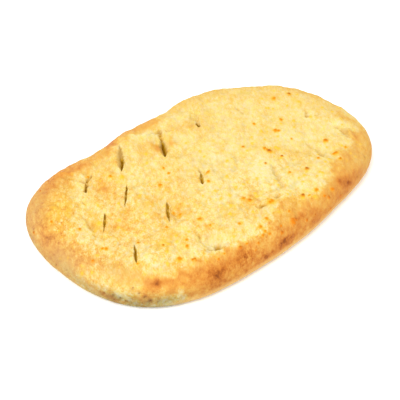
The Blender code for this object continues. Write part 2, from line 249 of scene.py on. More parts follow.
# Height of a blister as a share of its diameter, and how charred its tip is
BLISTER_RISE = {"dark": 0.26, "red": 0.26, "orange": 0.22, "yellow": 0.16, "pit": -0.3}
BLISTER_CHAR = {"dark": 1.0, "red": 0.5, "orange": 0.1, "yellow": 0.0, "pit": 0.75}
BLISTER_HALO = {"dark": 1.4, "red": 1.4, "orange": 1.4, "yellow": 1.05}  # yellow, in radii
TOASTED_TONES = ("dark", "red", "orange")
TOAST_RADIUS = 0.95  # of the toasted dome, in radii of the blister
BLISTER_MARGIN = 4  # radii within which a blister's shape is worked out
DOME_FULLNESS = 0.8
WOBBLE = 0.55  # how uneven a blister's outline is
WOBBLE_WAVELENGTH = 1.5
CHAR_RADIUS = 0.75  # of the charred tip, and how far it lies off the middle, in radii
CHAR_UPWARDS, CHAR_SIDEWAYS = 0.35, 0.5
CHAR_STEP = 1.7  # step in the noise from blister to blister
BLISTER_STRETCH = 0.55  # below 1, a blister is longer from front to back of the photograph's view

# Browned areas: amount, softness of the edge in pixels, and the corners as photo x, photo y
BROWN_AREAS = (
    (
        0.24,
        9,
        (
            (348, 142), (338, 155), (331, 166), (327, 182), (321, 192), (308, 195), (296, 196), (284, 198),
            (276, 206), (271, 214), (268, 224), (264, 233), (257, 239), (247, 242), (236, 243), (228, 248),
            (221, 252), (211, 256), (200, 256), (192, 260), (184, 269), (176, 274), (164, 276), (152, 278),
            (143, 282), (146, 289), (160, 292), (178, 294), (190, 302), (210, 304), (235, 292),
            (275, 264), (312, 237), (350, 201), (372, 176), (382, 150), (376, 134), (362, 130),
        ),
    ),
    (
        0.15,
        15,
        (
            (362, 164), (350, 170), (340, 178), (333, 190), (322, 204), (308, 207), (296, 213), (286, 221),
            (277, 232), (268, 241), (257, 249), (244, 248), (232, 256), (220, 260), (206, 265), (196, 270),
            (190, 282), (192, 296), (210, 296), (235, 287), (257, 275), (276, 261), (296, 247), (313, 234),
            (331, 217), (350, 199), (368, 182),
        ),
    ),
    (
        0.14,
        12,
        (
            (118, 144), (106, 156), (94, 164), (82, 171), (75, 180), (73, 192), (74, 206), (72, 219),
            (67, 230), (72, 241), (84, 246), (97, 247), (108, 252), (118, 261), (130, 267), (144, 270),
            (160, 268), (178, 262), (184, 270), (178, 300), (140, 318), (90, 304), (50, 276), (20, 240),
            (12, 205), (28, 182), (60, 158), (100, 136), (118, 128),
        ),
    ),
    (
        0.13,
        14,
        (
            (84, 164), (66, 176), (57, 187), (53, 200), (52, 215), (55, 230), (60, 242), (68, 249), (80, 254),
            (96, 256), (98, 264), (86, 269), (68, 270), (52, 266), (36, 250), (20, 232), (14, 205),
            (26, 184), (52, 164), (78, 152),
        ),
    ),
    (
        0.21,
        7,
        (
            (108, 148), (120, 141), (131, 137), (141, 134), (151, 131), (158, 126), (161, 118), (162, 106),
            (140, 112), (118, 128), (104, 140),
        ),
    ),
    (
        0.06,
        8,
        (
            (160, 120), (180, 110), (195, 103), (210, 97), (225, 94), (250, 92), (262, 88), (262, 76),
            (215, 78), (190, 88), (165, 101),
        ),
    ),
)

# Browned patches, or paler ones where the amount is below zero: photo x, photo y, half width,
# half height, tilt in degrees, amount
BROWN_PATCHES = (
    (140, 195, 75, 50, 0, 0.07),
    (217, 276, 16, 8, 38, 0.15),
    (215.5, 278, 9, 5, 35, 0.10),
    (244, 251, 13, 7, 35, 0.22),
    (229, 265, 9, 6, 35, 0.16),
    (284.5, 241.5, 9, 4, 42, 0.32),
    (267, 255.5, 8, 3, 35, 0.20),
    (276, 228, 6, 6, 0, 0.12),
    (297, 219, 7, 7, 0, 0.10),
    (315, 213, 7, 6, 40, 0.14),
    (345, 182, 8, 7, 50, 0.17),
    (339.5, 181.5, 3, 2.5, 0, 0.12),
    (349.5, 182.5, 3.5, 3, 50, 0.16),
    (156.5, 284, 5.5, 5, 60, 0.23),
    (168, 280, 14, 3, 12, 0.14),
    (100, 198, 22, 18, 0, 0.04),
    (344, 116, 13, 3.4, -34, 0.20),
    (361, 142, 9, 16, 10, -0.05),
    (358, 171, 7, 5, 60, 0.08),
    (326, 104.5, 8, 2.2, -25, 0.12),
    (113, 144, 7, 4, 30, -0.08),
    (340, 118.5, 12, 2.2, -35, 0.10),
    (146, 299, 10, 4, 0, 0.26),
    (113, 299, 8, 3, -25, 0.16),
    (46, 239, 5, 7, -60, 0.26),
    (45, 190, 9, 6, 30, 0.12),
    (66, 178, 24, 6, 35, 0.08),
    (50, 246, 12, 14, -50, 0.05),
    (150, 252, 12, 9, 0, -0.07),
    (142, 187, 13, 12, 0, -0.05),
    (62, 218, 14, 14, 0, 0.04),
    (100, 266, 34, 10, -16, 0.02),
    (122, 294, 14, 6, -10, -0.13),
    (163, 302, 8, 3, 0, -0.15),
    (92, 284, 12, 4, -30, -0.08),
    (55, 253, 5, 5, 0, 0.22),
    (80, 168.5, 12, 3.5, 28, 0.20),
    (101, 155.5, 9, 3, 28, 0.10),
    (150, 126, 8, 3, 28, 0.08),
    (148, 143, 12, 5, 10, 0.08),
    (163, 150, 4, 6, 80, 0.30),
    (171, 143, 4.5, 5, 80, 0.22),
    (156.5, 147.5, 4.5, 4.5, 0, 0.22),
    (117, 152, 4, 8, 90, 0.14),
    (117, 163, 4, 5, 90, 0.16),
    (105, 189, 7, 5, 10, 0.28),
    (112, 198, 12, 8, 0, 0.10),
    (121, 222, 13, 9, 0, 0.16),
    (103, 227, 7, 7, 0, 0.12),
    (150, 201, 10, 7, 0, 0.10),
    (168, 214, 5, 6, 0, 0.14),
    (181, 213, 6, 4, 0, 0.08),
    (160, 186, 5, 3, 0, 0.12),
    (200, 180, 3, 5, 0, 0.10),
    (246, 199, 6, 5, 0, 0.18),
    (254, 202, 6, 4, 0, 0.10),
    (271, 201, 6, 3.5, 20, 0.16),
    (267, 150, 8, 3.5, -20, 0.12),
    (293, 152, 18, 4, -5, 0.10),
    (285, 203, 8, 5, 0, 0.06),
    (353, 135, 9, 3.4, -42, 0.25),
    (340, 153, 8, 4, -20, 0.12),
    (232, 98, 16, 4, 0, 0.08),
    (272, 97, 10, 4, 0, 0.10),
    (196, 259, 5, 2.5, 0, 0.12),
    (263, 172, 13, 13, 0, -0.26),
    (208, 122, 50, 18, -20, 0.05),
    (190, 275, 12, 6, 20, 0.06),
    (215, 198, 14, 13, 0, -0.13),
    (300, 185, 15, 10, 0, -0.16),
    (197, 249, 9, 6, 0, -0.11),
    (142, 135.3, 14, 2.2, 10, -0.24),
    (150, 134.2, 6, 2.6, 10, -0.20),
    (120, 228, 42, 6, 0, 0.07),
    (252, 206, 10, 12, -30, 0.10),
    (208, 230, 12, 9, 0, 0.09),
    (188, 126, 14, 6, 10, 0.10),
    (145, 149, 12, 8, 0, 0.10),
    (100, 168, 14, 6, 30, 0.08),
    (180, 128, 12, 7, 0, 0.06),
    (310, 104, 32, 9, -25, 0.08),
    (178, 208, 14, 8, 0, 0.06),
    (104, 294, 13, 2.4, -22, 0.28),
    (90, 236, 12, 4, -35, -0.06),
    (78, 200, 5, 9, 60, -0.14),
    (82, 226, 13, 4, -42, -0.14),
    (160, 258, 20, 5, 5, -0.06),
    (185, 117, 10, 3, 25, -0.08),
    (225, 145, 34, 16, 0, -0.04),
    (300, 138, 26, 8, 0, -0.05),
    (238, 240, 10, 3, 10, -0.06),
    (362, 142, 7, 9, 80, -0.06),
    (270, 256, 13, 3.5, 36, 0.08),
    (224, 283, 12, 3.5, 25, 0.16),
    (296, 234, 12, 3.5, 40, 0.10),
    (316, 221, 8, 4, 40, 0.10),
    (337, 124, 14, 6, -35, -0.10),
    (336, 108, 20, 4, -33, -0.12),
    (214, 242, 8, 7, 0, -0.12),
    (75, 178, 8, 2.5, -15, -0.16),
)

# Yellower patches of the top: photo x, photo y, half width, half height, tilt in degrees, amount
YELLOW_PATCHES = (
    (162, 244, 9, 7, 0, 0.7),
    (230, 212, 8, 6, 0, 0.7),
    (236, 206, 5, 4, 0, 0.5),
    (60, 212, 16, 18, 0, 0.8),
    (145, 207, 10, 8, 0, 0.6),
    (98, 224, 7, 8, 0, 0.5),
    (272, 202, 7, 3, 20, 0.9),
    (121, 179, 4, 6, 80, 0.8),
    (296, 103, 8, 5, 0, 0.5),
    (243, 151, 12, 5, 10, 0.4),
    (256, 149.5, 7, 2.5, 10, 0.7),
    (265, 133, 8, 5, 0, 0.4),
    (228, 165, 6, 5, 0, 0.4),
    (176, 238, 12, 8, 0, 0.4),
)

# Where the crust is evenly coloured, or livelier where the amount is below zero: photo x, photo y,
# half width, half height, tilt in degrees, amount
CALM_PATCHES = (
    (130, 278, 40, 10, -5, 0.25),
    (75, 190, 14, 5, 20, 0.2),
    (140, 130, 30, 6, 30, 0.3),
    (62, 222, 16, 18, 0, -0.15),
    (215, 243, 8, 6, 20, 0.35),
    (262, 182, 34, 22, 0, -0.25),
    (215, 197, 14, 12, 0, -0.15),
    (143, 187, 14, 12, 0, -0.1),
    (80, 264, 22, 8, -20, 0.1),
    (264, 231, 12, 7, 30, -0.4),
    (246, 256, 14, 7, 35, -0.35),
    (216, 276, 12, 6, 30, -0.2),
    (152, 253, 14, 10, 0, -0.2),
    (35, 222, 8, 12, 0, -0.2),
)

# Where painted shade dulls and greys the side walls: photo x, photo y, half width, half height, tilt in
# degrees, amount
DULL_SHADE_PATCHES = (
    (33, 215, 14, 38, 0, 0.40),
    (64, 256, 28, 13, -33, 0.42),
    (114, 270, 30, 12, -14, 0.32),
    (70, 271, 26, 7, -35, 0.30),
    (358, 158, 15, 30, 20, 0.11),
)

# Where the fine grain of the crust is stronger: photo x, photo y, half width, half height, tilt in
# degrees, amount
SPECKLED_PATCHES = (
    (42, 215, 28, 42, 0, 1.3),
    (84, 262, 28, 12, -20, 1.3),
    (125, 200, 50, 30, 0, 0.3),
    (270, 245, 44, 12, 38, 0.35),
)

# Browning round the rim by angle in degrees: on the upper rim, on the side wall, how far in from the
# widest line it has faded to nothing, how pale the foot of the side is, and how much painted shade darkens it
RIM_BROWNING = (
    (0, 0.19, 0.22, 22, 0.4, 0.0),
    (12, 0.20, 0.22, 22, 0.4, 0.0),
    (30, 0.09, 0.18, 22, 0.5, 0.0),
    (48, 0.12, 0.20, 22, 0.4, 0.0),
    (60, 0.07, 0.20, 22, 0.3, 0.0),
    (78, 0.15, 0.20, 22, 0.3, 0.0),
    (105, 0.19, 0.20, 24, 0.3, 0.1),
    (118, 0.17, 0.18, 24, 0.3, 0.1),
    (130, 0.12, 0.12, 26, 0.3, 0.2),
    (150, 0.14, 0.14, 26, 0.2, 0.3),
    (180, 0.06, 0.08, 26, 0.0, 0.35),
    (187, 0.05, 0.06, 24, 0.0, 0.5),
    (199, 0.04, 0.05, 24, 0.0, 0.9),
    (206, 0.04, 0.05, 24, 0.0, 0.9),
    (213, 0.05, 0.06, 22, 0.2, 0.85),
    (220, 0.04, 0.06, 22, 0.7, 0.3),
    (243, 0.04, 0.06, 20, 1.0, 0.0),
    (258, 0.04, 0.06, 18, 1.0, 0.0),
    (300, 0.06, 0.08, 18, 1.0, 0.0),
    (330, 0.10, 0.14, 20, 1.0, 0.0),
    (350, 0.13, 0.17, 22, 0.6, 0.0),
)

# the last column, foot, is the painted shade of the front foot
RIM_COLUMNS = ("angle", "upper", "wall", "reach", "pale", "foot")

TOP_BROWNING = 0.17
EDGE_WANDER = 6  # pixels by which noise shifts the edge of a browned area
RIM_WANDER = 6  # how far noise shifts the inner edge of the rim's browning
RIM_FULL = 0.35  # share of its reach over which the rim's browning is full
WALL_TOP, WALL_BLEND = 8, 10  # height where the upper rim's browning sets in
SEEN_FROM, SEEN_RUN = -0.35, 0.5  # facing of the crust where the photograph's colours begin
PALE_TOP, PALE_FADE = 7, 4  # height of the foot that is less browned
DRIFT_NOISE = (26, 1.0)  # wavelength, how fast its finer layers fade
WANDER_NOISE = (9, 0.6)
FRACTAL_GAP, FRACTAL_LAYERS = 2.0, 3
DRIFT_SHARE = 0.5
PATCH_DEPTH = 3  # how far a patch reaches away from the camera, times its longer half width

# Mottling: its middle, how much it changes along the loaf, and the way and distance over which it does
MOTTLE_MIDDLE, MOTTLE_CHANGE = 0.9, 0.2
MOTTLE_WAY, MOTTLE_RUN = (0.75, 0.65), 120

# Depths at which a crack and an open groove count in full, and heights below which the pale foot and the
# painted shade of the foot begin
CREVICE_FULL, GROOVE_FULL = 3, 1.1
LOW_TOP, LOW_FADE = 10.5, 5
FOOT_SHADE_TOP, FOOT_SHADE_FADE = 21, 12

# Mesh spacing
LATTICE = 0.9
ROW_SPACING = math.sqrt(3) / 2
RIM_SPACING = 1.0
FOOT_STEPS = 10
COLLAR_INSET = 4.0
COLLAR_STEPS = 12
UNDERSIDE_LATTICE = 5.0
STATION_SPACING = 0.6
BEFORE_TIP, BEYOND_TIP = 1.2, 1.3  # how far the rows of points run past a slit's ends
CRACK_ROWS = (-1, -0.5, 0, 0.5, 1)  # shares of the crack's half width
LIP_ROWS = ((0.7, 0), (1.0, 0), (1.0, 0.3), (1.0, 0.8), (1.0, 1.5))  # share of the half width, extra
CREASE_ROWS = (-1.2, -0.6, 0, 0.6, 1.2)  # shares of the crease's width
MESHED_WIDTH = 1.45  # a crease that is narrower than this somewhere has its own rows of points
BLISTER_RINGS = ((0.4, 6), (0.8, 10), (1.15, 13))  # share of the radius, points
SLIT_CLEARANCE = 0.4
FEATURE_CLEARANCE = 0.45
LATTICE_CLEARANCE = 0.62  # as a share of the lattice's spacing
SAME_POINT = 1e-4
ROUND_TO = 0.11
POINTS_AT_ONCE = 4000

# Where the relief is held back, and the search along a line of sight
FREE_HEIGHT = 4  # height above the floor at which the relief has its full depth
UPWARD_FACING = 0.3  # the slits cut only crust that faces up more than this
HIGHEST_CRUST, RAY_STEP = 32, 0.5  # height from which a line of sight is followed down, and its steps
# The lumps grow from the side wall to the top, with the upward facing times the slope less the start
CALM_SLOPE, CALM_START = 2, 0.9

# Floor, camera and light, in metres, degrees and watts
FLOOR_HALF = 3.0
FLOOR_DROP = 0.0002  # how far the floor lies below the loaf's underside
FLOOR_TONE = (0.92, 0.92, 0.92, 1)
FLOOR_ROUGHNESS = 0.9
FLOOR_GLOW = 0.12
CLIP_START, CLIP_END = 0.01, 20
WORLD_STRENGTH = 1.2
KEY_AZIMUTH, KEY_ELEVATION = 285, 50
KEY_DISTANCE, KEY_SIZE, KEY_POWER = 1.6, 0.7, 13


# Shape of the loaf


def outline_radius(angles):
    """Radius of the widest line at these angles, on the smooth closed curve through OUTLINE_RADII."""
    waves = np.fft.rfft(OUTLINE_RADII) / len(OUTLINE_RADII)
    turns = np.arange(1, len(waves) - 1)
    phases = np.exp(1j * np.outer(angles, turns))
    last = waves[-1].real * np.cos((len(waves) - 1) * angles)
    return waves[0].real + 2 * (phases @ waves[1:-1]).real + last


def outline_points(count):
    """Evenly spaced points of the widest line, counter-clockwise, centred on the origin."""
    angles = np.linspace(0, 2 * np.pi, OUTLINE_SAMPLES, endpoint=False)
    radius = outline_radius(angles)
    line = np.column_stack([radius * np.cos(angles), radius * np.sin(angles)])
    line -= (line.min(axis=0) + line.max(axis=0)) / 2
    closed = np.vstack([line, line[:1]])
    travelled = np.concatenate([[0], np.cumsum(np.linalg.norm(np.diff(closed, axis=0), axis=1))])
    stops = np.linspace(0, travelled[-1], count, endpoint=False)
    return np.column_stack([np.interp(stops, travelled, closed[:, k]) for k in (0, 1)])


COARSE_LINE = outline_points(COARSE_STEPS)


def inward_normals(line):
    along = np.roll(line, -1, axis=0) - np.roll(line, 1, axis=0)
    along /= np.linalg.norm(along, axis=1)[:, None]
    return np.column_stack([-along[:, 1], along[:, 0]])


def distance_inside(points):
    """How far each point lies inside the widest line."""
    step = np.roll(COARSE_LINE, -1, axis=0) - COARSE_LINE
    found = []
    for some in np.array_split(points, len(points) // POINTS_AT_ONCE + 1):
        offset = some[:, None, :] - COARSE_LINE[None, :, :]
        share = (offset * step).sum(axis=2) / (step * step).sum(axis=1)
        nearest = offset - np.clip(share, 0, 1)[:, :, None] * step
        found.append(np.sqrt((nearest**2).sum(axis=2)).min(axis=1))
    return np.concatenate(found)


def is_within(points):
    radius = np.hypot(points[:, 0], points[:, 1])
    return radius < outline_radius(np.arctan2(points[:, 1], points[:, 0]))


def smooth_step(value):
    value = np.clip(value, 0, 1)
    return value * value * (3 - 2 * value)


def turn_from(angles, angle):
    """Signed difference of angles in degrees, from -180 to 180."""
    return (angles - angle + 180) % 360 - 180


def rim_height(points):
    angles = np.degrees(np.arctan2(points[:, 1], points[:, 0]))
    height = np.full(len(points), float(RIM_HEIGHT))
    for angle, spread, extra in RIM_CHANGES:
        height += extra * np.exp(-((turn_from(angles, angle) / spread) ** 2))
    return height


def swells(points):
    along = np.array((math.cos(SLIT_DIRECTION), math.sin(SLIT_DIRECTION)))
    across = np.array((-along[1], along[0]))
    height = np.zeros(len(points))
    for x, y, length, width, rise in SWELLS:
        away = points - (x, y)
        oval = (away @ along / length) ** 2 + (away @ across / width) ** 2
        height += rise * np.exp(-oval)
    return height


def noise_values(points, wavelength, shift=0):
    """Noise at each point, from -1 to 1."""
    offset = Vector((shift, 0, 0))
    return np.array([noise.noise(Vector(p) / wavelength + offset) for p in points])


def unevenness(points):
    height = np.zeros(len(points))
    flat = np.column_stack([points, height])
    for wavelength, rise in UNEVENNESS:
        height += rise * noise_values(flat, wavelength)
    return height


def top_height(points, inside=None):
    """Height of the crust above the floor before its slits, creases and blisters."""
    inside = distance_inside(points) if inside is None else inside
    run = 1 - np.clip(inside / SHOULDER_WIDTH, 0, 1)
    shoulder = (1 - run**SHOULDER_FULLNESS) ** (1 / SHOULDER_FULLNESS)
    dip = MIDDLE_DIP * smooth_step((inside - SHOULDER_WIDTH) / DIP_RUN)
    height = WIDEST_HEIGHT + (rim_height(points) - WIDEST_HEIGHT) * shoulder - dip
    return height + (swells(points) + unevenness(points)) * shoulder


# Camera, and the places of the photograph on the crust


def view_axes():
    azimuth = math.radians(VIEW_AZIMUTH)
    elevation = math.radians(VIEW_ELEVATION)
    flat = math.cos(elevation)
    back = np.array((math.sin(azimuth) * flat, -math.cos(azimuth) * flat, math.sin(elevation)))
    right = np.array((math.cos(azimuth), math.sin(azimuth), 0))
    return right, np.cross(back, right), back


RIGHT, UP, BACK = view_axes()
EYE = RIGHT * AIM_RIGHT + UP * AIM_UP + BACK * VIEW_DISTANCE
FOCAL_PIXELS = LENS / SENSOR * IMAGE_SIZE


def on_loaf(places):
    """The points of the crust that the camera sees at these pixels of the photograph."""
    places = np.asarray(places, float)
    middle = IMAGE_SIZE / 2
    sideways = np.outer((places[:, 0] - middle) / FOCAL_PIXELS, RIGHT)
    upwards = np.outer((middle - places[:, 1]) / FOCAL_PIXELS, UP)
    rays = sideways + upwards - BACK
    heights = np.arange(HIGHEST_CRUST, 1, -RAY_STEP)
    found = np.full(len(places), heights[-1])
    open_rays = np.ones(len(places), bool)
    for height in heights:
        spots = (EYE + rays * ((height - EYE[2]) / rays[:, 2])[:, None])[:, :2]
        hit = open_rays & is_within(spots) & (top_height(spots) > height)
        found[hit] = height + RAY_STEP / 2
        open_rays &= ~hit
    return EYE + rays * ((found - EYE[2]) / rays[:, 2])[:, None]


# Slits


def slit_axes(slit):
    """Middle of a slit, and the directions along it and across it."""
    direction = math.radians(slit.direction)
    way = np.array((math.cos(direction), math.sin(direction)))
    return np.array((slit.x, slit.y), float), way, np.array((-way[1], way[0]))


def slit_noise(slit, along, pattern):
    """Noise at places along a slit, different for each slit."""
    wavelength, step, layer = pattern
    row = SLITS.index(slit) * step
    return np.array([noise.noise(Vector((a * slit.length / wavelength, row, layer))) for a in along])


def slit_section(slit, along):
    """Half width, sideways wobble, groove depth and crack depth of a slit at places along it."""
    away = along - slit.widest
    run = np.where(along < slit.widest, away / (1 + slit.widest), away / (1 - slit.widest))
    run = np.clip(np.abs(run), 0, 1)
    ragged = 1 + RAGGED_SHARE * slit_noise(slit, along, RAGGED_EDGE)
    ragged = ragged + TORN_SHARE * slit_noise(slit, along, TORN_EDGE)
    half = slit.width / 2 * np.maximum(1 - run**WIDTH_TAPER, TIP_WIDTH) * ragged
    hollow = slit.depth * HOLLOW_DEPTH * np.maximum(1 - run**DEPTH_TAPER, TIP_DEPTH)
    crack = slit.depth * (1 - HOLLOW_DEPTH) * np.clip(1 - run**DEPTH_TAPER, 0, 1)
    crack = crack * smooth_step((slit.crack_end - along) / CRACK_FADE + 0.5)
    for bridge in slit.bridges:
        gap = (along - bridge) * slit.length / 2 / BRIDGE_WIDTH
        crack = crack * (1 - BRIDGE_FILL * np.exp(-(gap**2)))
    return half, DRIFT_REACH * slit_noise(slit, along, SIDEWAYS_DRIFT), hollow, crack


def slit_points(slit):
    """Rows of mesh points along a slit, closest together at its lips and walls."""
    middle, way, side = slit_axes(slit)
    reach = slit.length / 2
    along = np.arange(-reach - BEFORE_TIP, reach + BEYOND_TIP, STATION_SPACING) / reach
    half, drift = slit_section(slit, np.clip(along, -1, 1))[:2]
    rows = [drift + half * (share * slit.crack_share - slit.deepest) for share in CRACK_ROWS]
    for share, extra in LIP_ROWS:
        rows += [drift + sign * (half * share + extra) for sign in (-1, 1)]
    ahead = middle + np.outer(along * reach, way)
    return np.vstack([ahead + away[:, None] * side for away in rows])


def cut_slits(points):
    """How far the slits lower each point, how much of that is crack, and how far their lips raise it."""
    lowered, cracked, raised = np.zeros((3, len(points)))
    for slit in SLITS:
        middle, way, side = slit_axes(slit)
        reach = slit.length / 2
        away = points - middle
        near = np.nonzero(np.hypot(away[:, 0], away[:, 1]) < reach + SLIT_MARGIN)[0]
        along = away[near] @ way / reach
        half, drift, hollow, crack = slit_section(slit, np.clip(along, -1, 1))
        sideways = away[near] @ side - drift
        beyond = np.maximum(np.abs(along) - 1, 0) * reach
        offset = np.hypot(sideways, beyond * TIP_SHARPNESS)
        deepest = -slit.deepest
        from_deepest = np.sign(sideways) * offset / half - deepest
        slope = np.abs(from_deepest) / np.where(from_deepest > 0, 1 - deepest, 1 + deepest)
        open_groove = hollow * np.clip(1 - slope, 0, 1)
        narrow = np.clip(1 - np.abs(from_deepest) / slit.crack_share, 0, 1)
        narrow = crack * narrow**CRACK_SHARPNESS
        lowered[near] = np.maximum(lowered[near], open_groove + narrow)
        cracked[near] = np.maximum(cracked[near], narrow)
        outside = np.maximum(offset - half, 0)
        strength = np.clip(LIP_END - np.abs(along) ** LIP_TAPER, 0, 1) * np.clip(half, 0, 1)
        raised[near] += SLIT_LIP * strength * np.exp(-((outside / SLIT_LIP_WIDTH) ** 2))
    return lowered, cracked, raised


# Creases


def spaced_out(line, spacing):
    """Points every so far along a line of rows, with all their columns."""
    steps = np.linalg.norm(np.diff(line[:, :3], axis=0), axis=1)
    travelled = np.concatenate([[0], np.cumsum(steps)])
    stops = np.linspace(0, travelled[-1], max(int(travelled[-1] / spacing), 2))
    return np.column_stack([np.interp(stops, travelled, column) for column in line.T])


def crease_lines():
    """Each crease as rows of x, y, z, width, depth on the crust."""
    lines = []
    for crease in CREASES:
        rows = np.array(crease, float)
        line = np.column_stack([on_loaf(rows[:, :2]), rows[:, 2:]])
        lines.append(spaced_out(line, STATION_SPACING))
    return lines


def crease_points(line):
    """Rows of mesh points along a narrow crease."""
    along = np.gradient(line[:, :2], axis=0)
    along /= np.linalg.norm(along, axis=1)[:, None] + 1e-9
    side = np.column_stack([-along[:, 1], along[:, 0]])
    rows = [line[:, :2] + side * line[:, 3:4] * share for share in CREASE_ROWS]
    return np.vstack(rows)


def noise_shift(point):
    """A shift that varies smoothly from place to place, the same in every run."""
    place = Vector(point) / WANDER_WAVELENGTH
    return [CREASE_WANDER * noise.noise(place + Vector((0, 0, layer))) for layer in WANDER_LAYERS]


def press_creases(points, lines):
    """How far each point is pushed in along its normal, and how hollow that makes it from 0 to 1."""
    pushed, hollow = np.zeros((2, len(points)))
    for line in lines:
        low = line[:, :3].min(axis=0) - CREASE_MARGIN
        high = line[:, :3].max(axis=0) + CREASE_MARGIN
        near = np.nonzero(((points > low) & (points < high)).all(axis=1))[0]
        bent = points[near] + [noise_shift(p) for p in points[near]]
        torn = 1 + CREASE_TEAR * noise_values(points[near], TEAR_WAVELENGTH)
        gap = np.linalg.norm(bent[:, None, :] - line[None, :, :3], axis=2)
        nearest = gap.argmin(axis=1)
        gap = gap.min(axis=1)
        width, depth = line[nearest, 3], line[nearest, 4]
        push = depth * torn * np.exp(-((gap / width) ** 2))
        pushed[near] += push
        sharp = np.clip((SHARP_WIDTH / width) ** 2, 0, 1)
        hollow[near] = np.maximum(hollow[near], np.clip(push * sharp / HOLLOW_FULL, 0, 1))
    return pushed, hollow


# Blisters


def blister_list():
    """Rows of x, y, z, radius and rise, and the tone of each."""
    rows = []
    tones = []
    listing = (
        ("dark", DARK_BLISTERS),
        ("red", RED_BLISTERS),
        ("orange", ORANGE_BLISTERS),
        ("yellow", YELLOW_BLISTERS),
        ("pit", PITS),
    )
    for tone, blisters in listing:
        listed = np.array(blisters, float)
        places = on_loaf(listed[:, :2])
        rise = listed[:, 2] * BLISTER_RISE[tone]
        rows.append(np.column_stack([places, listed[:, 2] / 2, rise]))
        tones += [tone] * len(blisters)
    return np.vstack(rows), tones


def blister_points(blister):
    """Rings of mesh points on and round a blister."""
    x, y, radius = blister[0], blister[1], blister[3]
    points = [(x, y)]
    for share, count in BLISTER_RINGS:
        turns = np.linspace(0, 2 * np.pi, count, endpoint=False) + share
        points += list(zip(x + radius * share * np.cos(turns), y + radius * share * np.sin(turns)))
    return np.array(points)


def raise_blisters(points, blisters, tones):
    """Height of the blisters at each point, and how toasted, yellow and charred they make it."""
    raised, toast, halo, char = np.zeros((4, len(points)))
    for number, (blister, tone) in enumerate(zip(blisters, tones)):
        centre, radius, rise = blister[:3], blister[3], blister[4]
        near = np.nonzero(np.linalg.norm(points - centre, axis=1) < radius * BLISTER_MARGIN)[0]
        away = points[near] - centre
        share = np.hypot(np.hypot(away @ RIGHT, away @ UP), BLISTER_STRETCH * (away @ BACK)) / radius
        share = share * (1 + WOBBLE * noise_values(points[near], WOBBLE_WAVELENGTH))
        raised[near] += rise * np.clip(1 - share**2, 0, 1) ** DOME_FULLNESS
        sideways = CHAR_SIDEWAYS * noise.noise((number * CHAR_STEP, 0, 0))
        tip = centre + UP * radius * CHAR_UPWARDS + RIGHT * radius * sideways
        gap = np.linalg.norm(points[near] - tip, axis=1) / radius
        char[near] = np.maximum(char[near], BLISTER_CHAR[tone] * np.exp(-((gap / CHAR_RADIUS) ** 2)))
        if tone in BLISTER_HALO:
            halo[near] = np.maximum(halo[near], np.exp(-((share / BLISTER_HALO[tone]) ** 3)))
        if tone in TOASTED_TONES:
            toast[near] = np.maximum(toast[near], np.exp(-((share / TOAST_RADIUS) ** 4)))
    return raised, toast, halo, char


# Colour fields


def photo_places(points):
    """The pixels of the photograph at which the camera sees these points."""
    away = points - EYE
    scale = -FOCAL_PIXELS / (away @ BACK)
    middle = IMAGE_SIZE / 2
    return np.column_stack([middle + scale * (away @ RIGHT), middle - scale * (away @ UP)])


def depth_in_area(places, corners):
    """How many pixels each place lies inside a closed line of corners. Outside it is below zero."""
    line = np.array(corners, float)
    following = np.roll(line, -1, axis=0)
    step = following - line
    offset = places[:, None, :] - line
    share = np.clip((offset * step).sum(axis=2) / (step * step).sum(axis=1), 0, 1)
    gap = np.sqrt(((offset - share[:, :, None] * step) ** 2).sum(axis=2)).min(axis=1)
    spans = (line[:, 1] > places[:, 1:]) != (following[:, 1] > places[:, 1:])
    slope = step[:, 0] / np.where(step[:, 1] == 0, 1, step[:, 1])
    crossed = spans & (offset[:, :, 0] < offset[:, :, 1] * slope)
    return np.where(crossed.sum(axis=1) % 2 == 1, gap, -gap)


def area_weight(points, seen, wander):
    """Sum of the browned areas at each point, where the camera of the photograph sees it."""
    places = photo_places(points)
    total = np.zeros(len(points))
    for amount, softness, corners in BROWN_AREAS:
        depth = depth_in_area(places, corners) + EDGE_WANDER * wander
        total += amount * smooth_step(0.5 + depth / softness)
    return total * seen


def patch_weight(points, patches):
    """Sum of soft ovals, each lying as the camera sees it at its place on the crust."""
    listed = np.array(patches, float)
    centres = on_loaf(listed[:, :2])
    total = np.zeros(len(points))
    for centre, (_, _, wide, high, tilt, amount) in zip(centres, listed):
        scale = (VIEW_DISTANCE - centre @ BACK) / FOCAL_PIXELS
        away = points - centre
        sideways, upwards, deeper = away @ RIGHT, away @ UP, away @ BACK
        turn = math.radians(tilt)
        first = (sideways * math.cos(turn) + upwards * math.sin(turn)) / (wide * scale)
        second = (upwards * math.cos(turn) - sideways * math.sin(turn)) / (high * scale)
        third = deeper / (PATCH_DEPTH * max(wide, high) * scale)
        total += amount * np.exp(-(first**2 + second**2 + third**2))
    return total


def around_rim(points, name):
    """A value of RIM_BROWNING at the angle of each point, joined smoothly."""
    table = np.array(RIM_BROWNING, float)
    angles = np.degrees(np.arctan2(points[:, 1], points[:, 0])) % 360
    return np.interp(angles, table[:, 0], table[:, RIM_COLUMNS.index(name)], period=360)


def fractal_values(points, wavelength, falloff):
    layers = (falloff, FRACTAL_GAP, FRACTAL_LAYERS)
    return np.array([noise.fractal(Vector(p) / wavelength, *layers) for p in points])


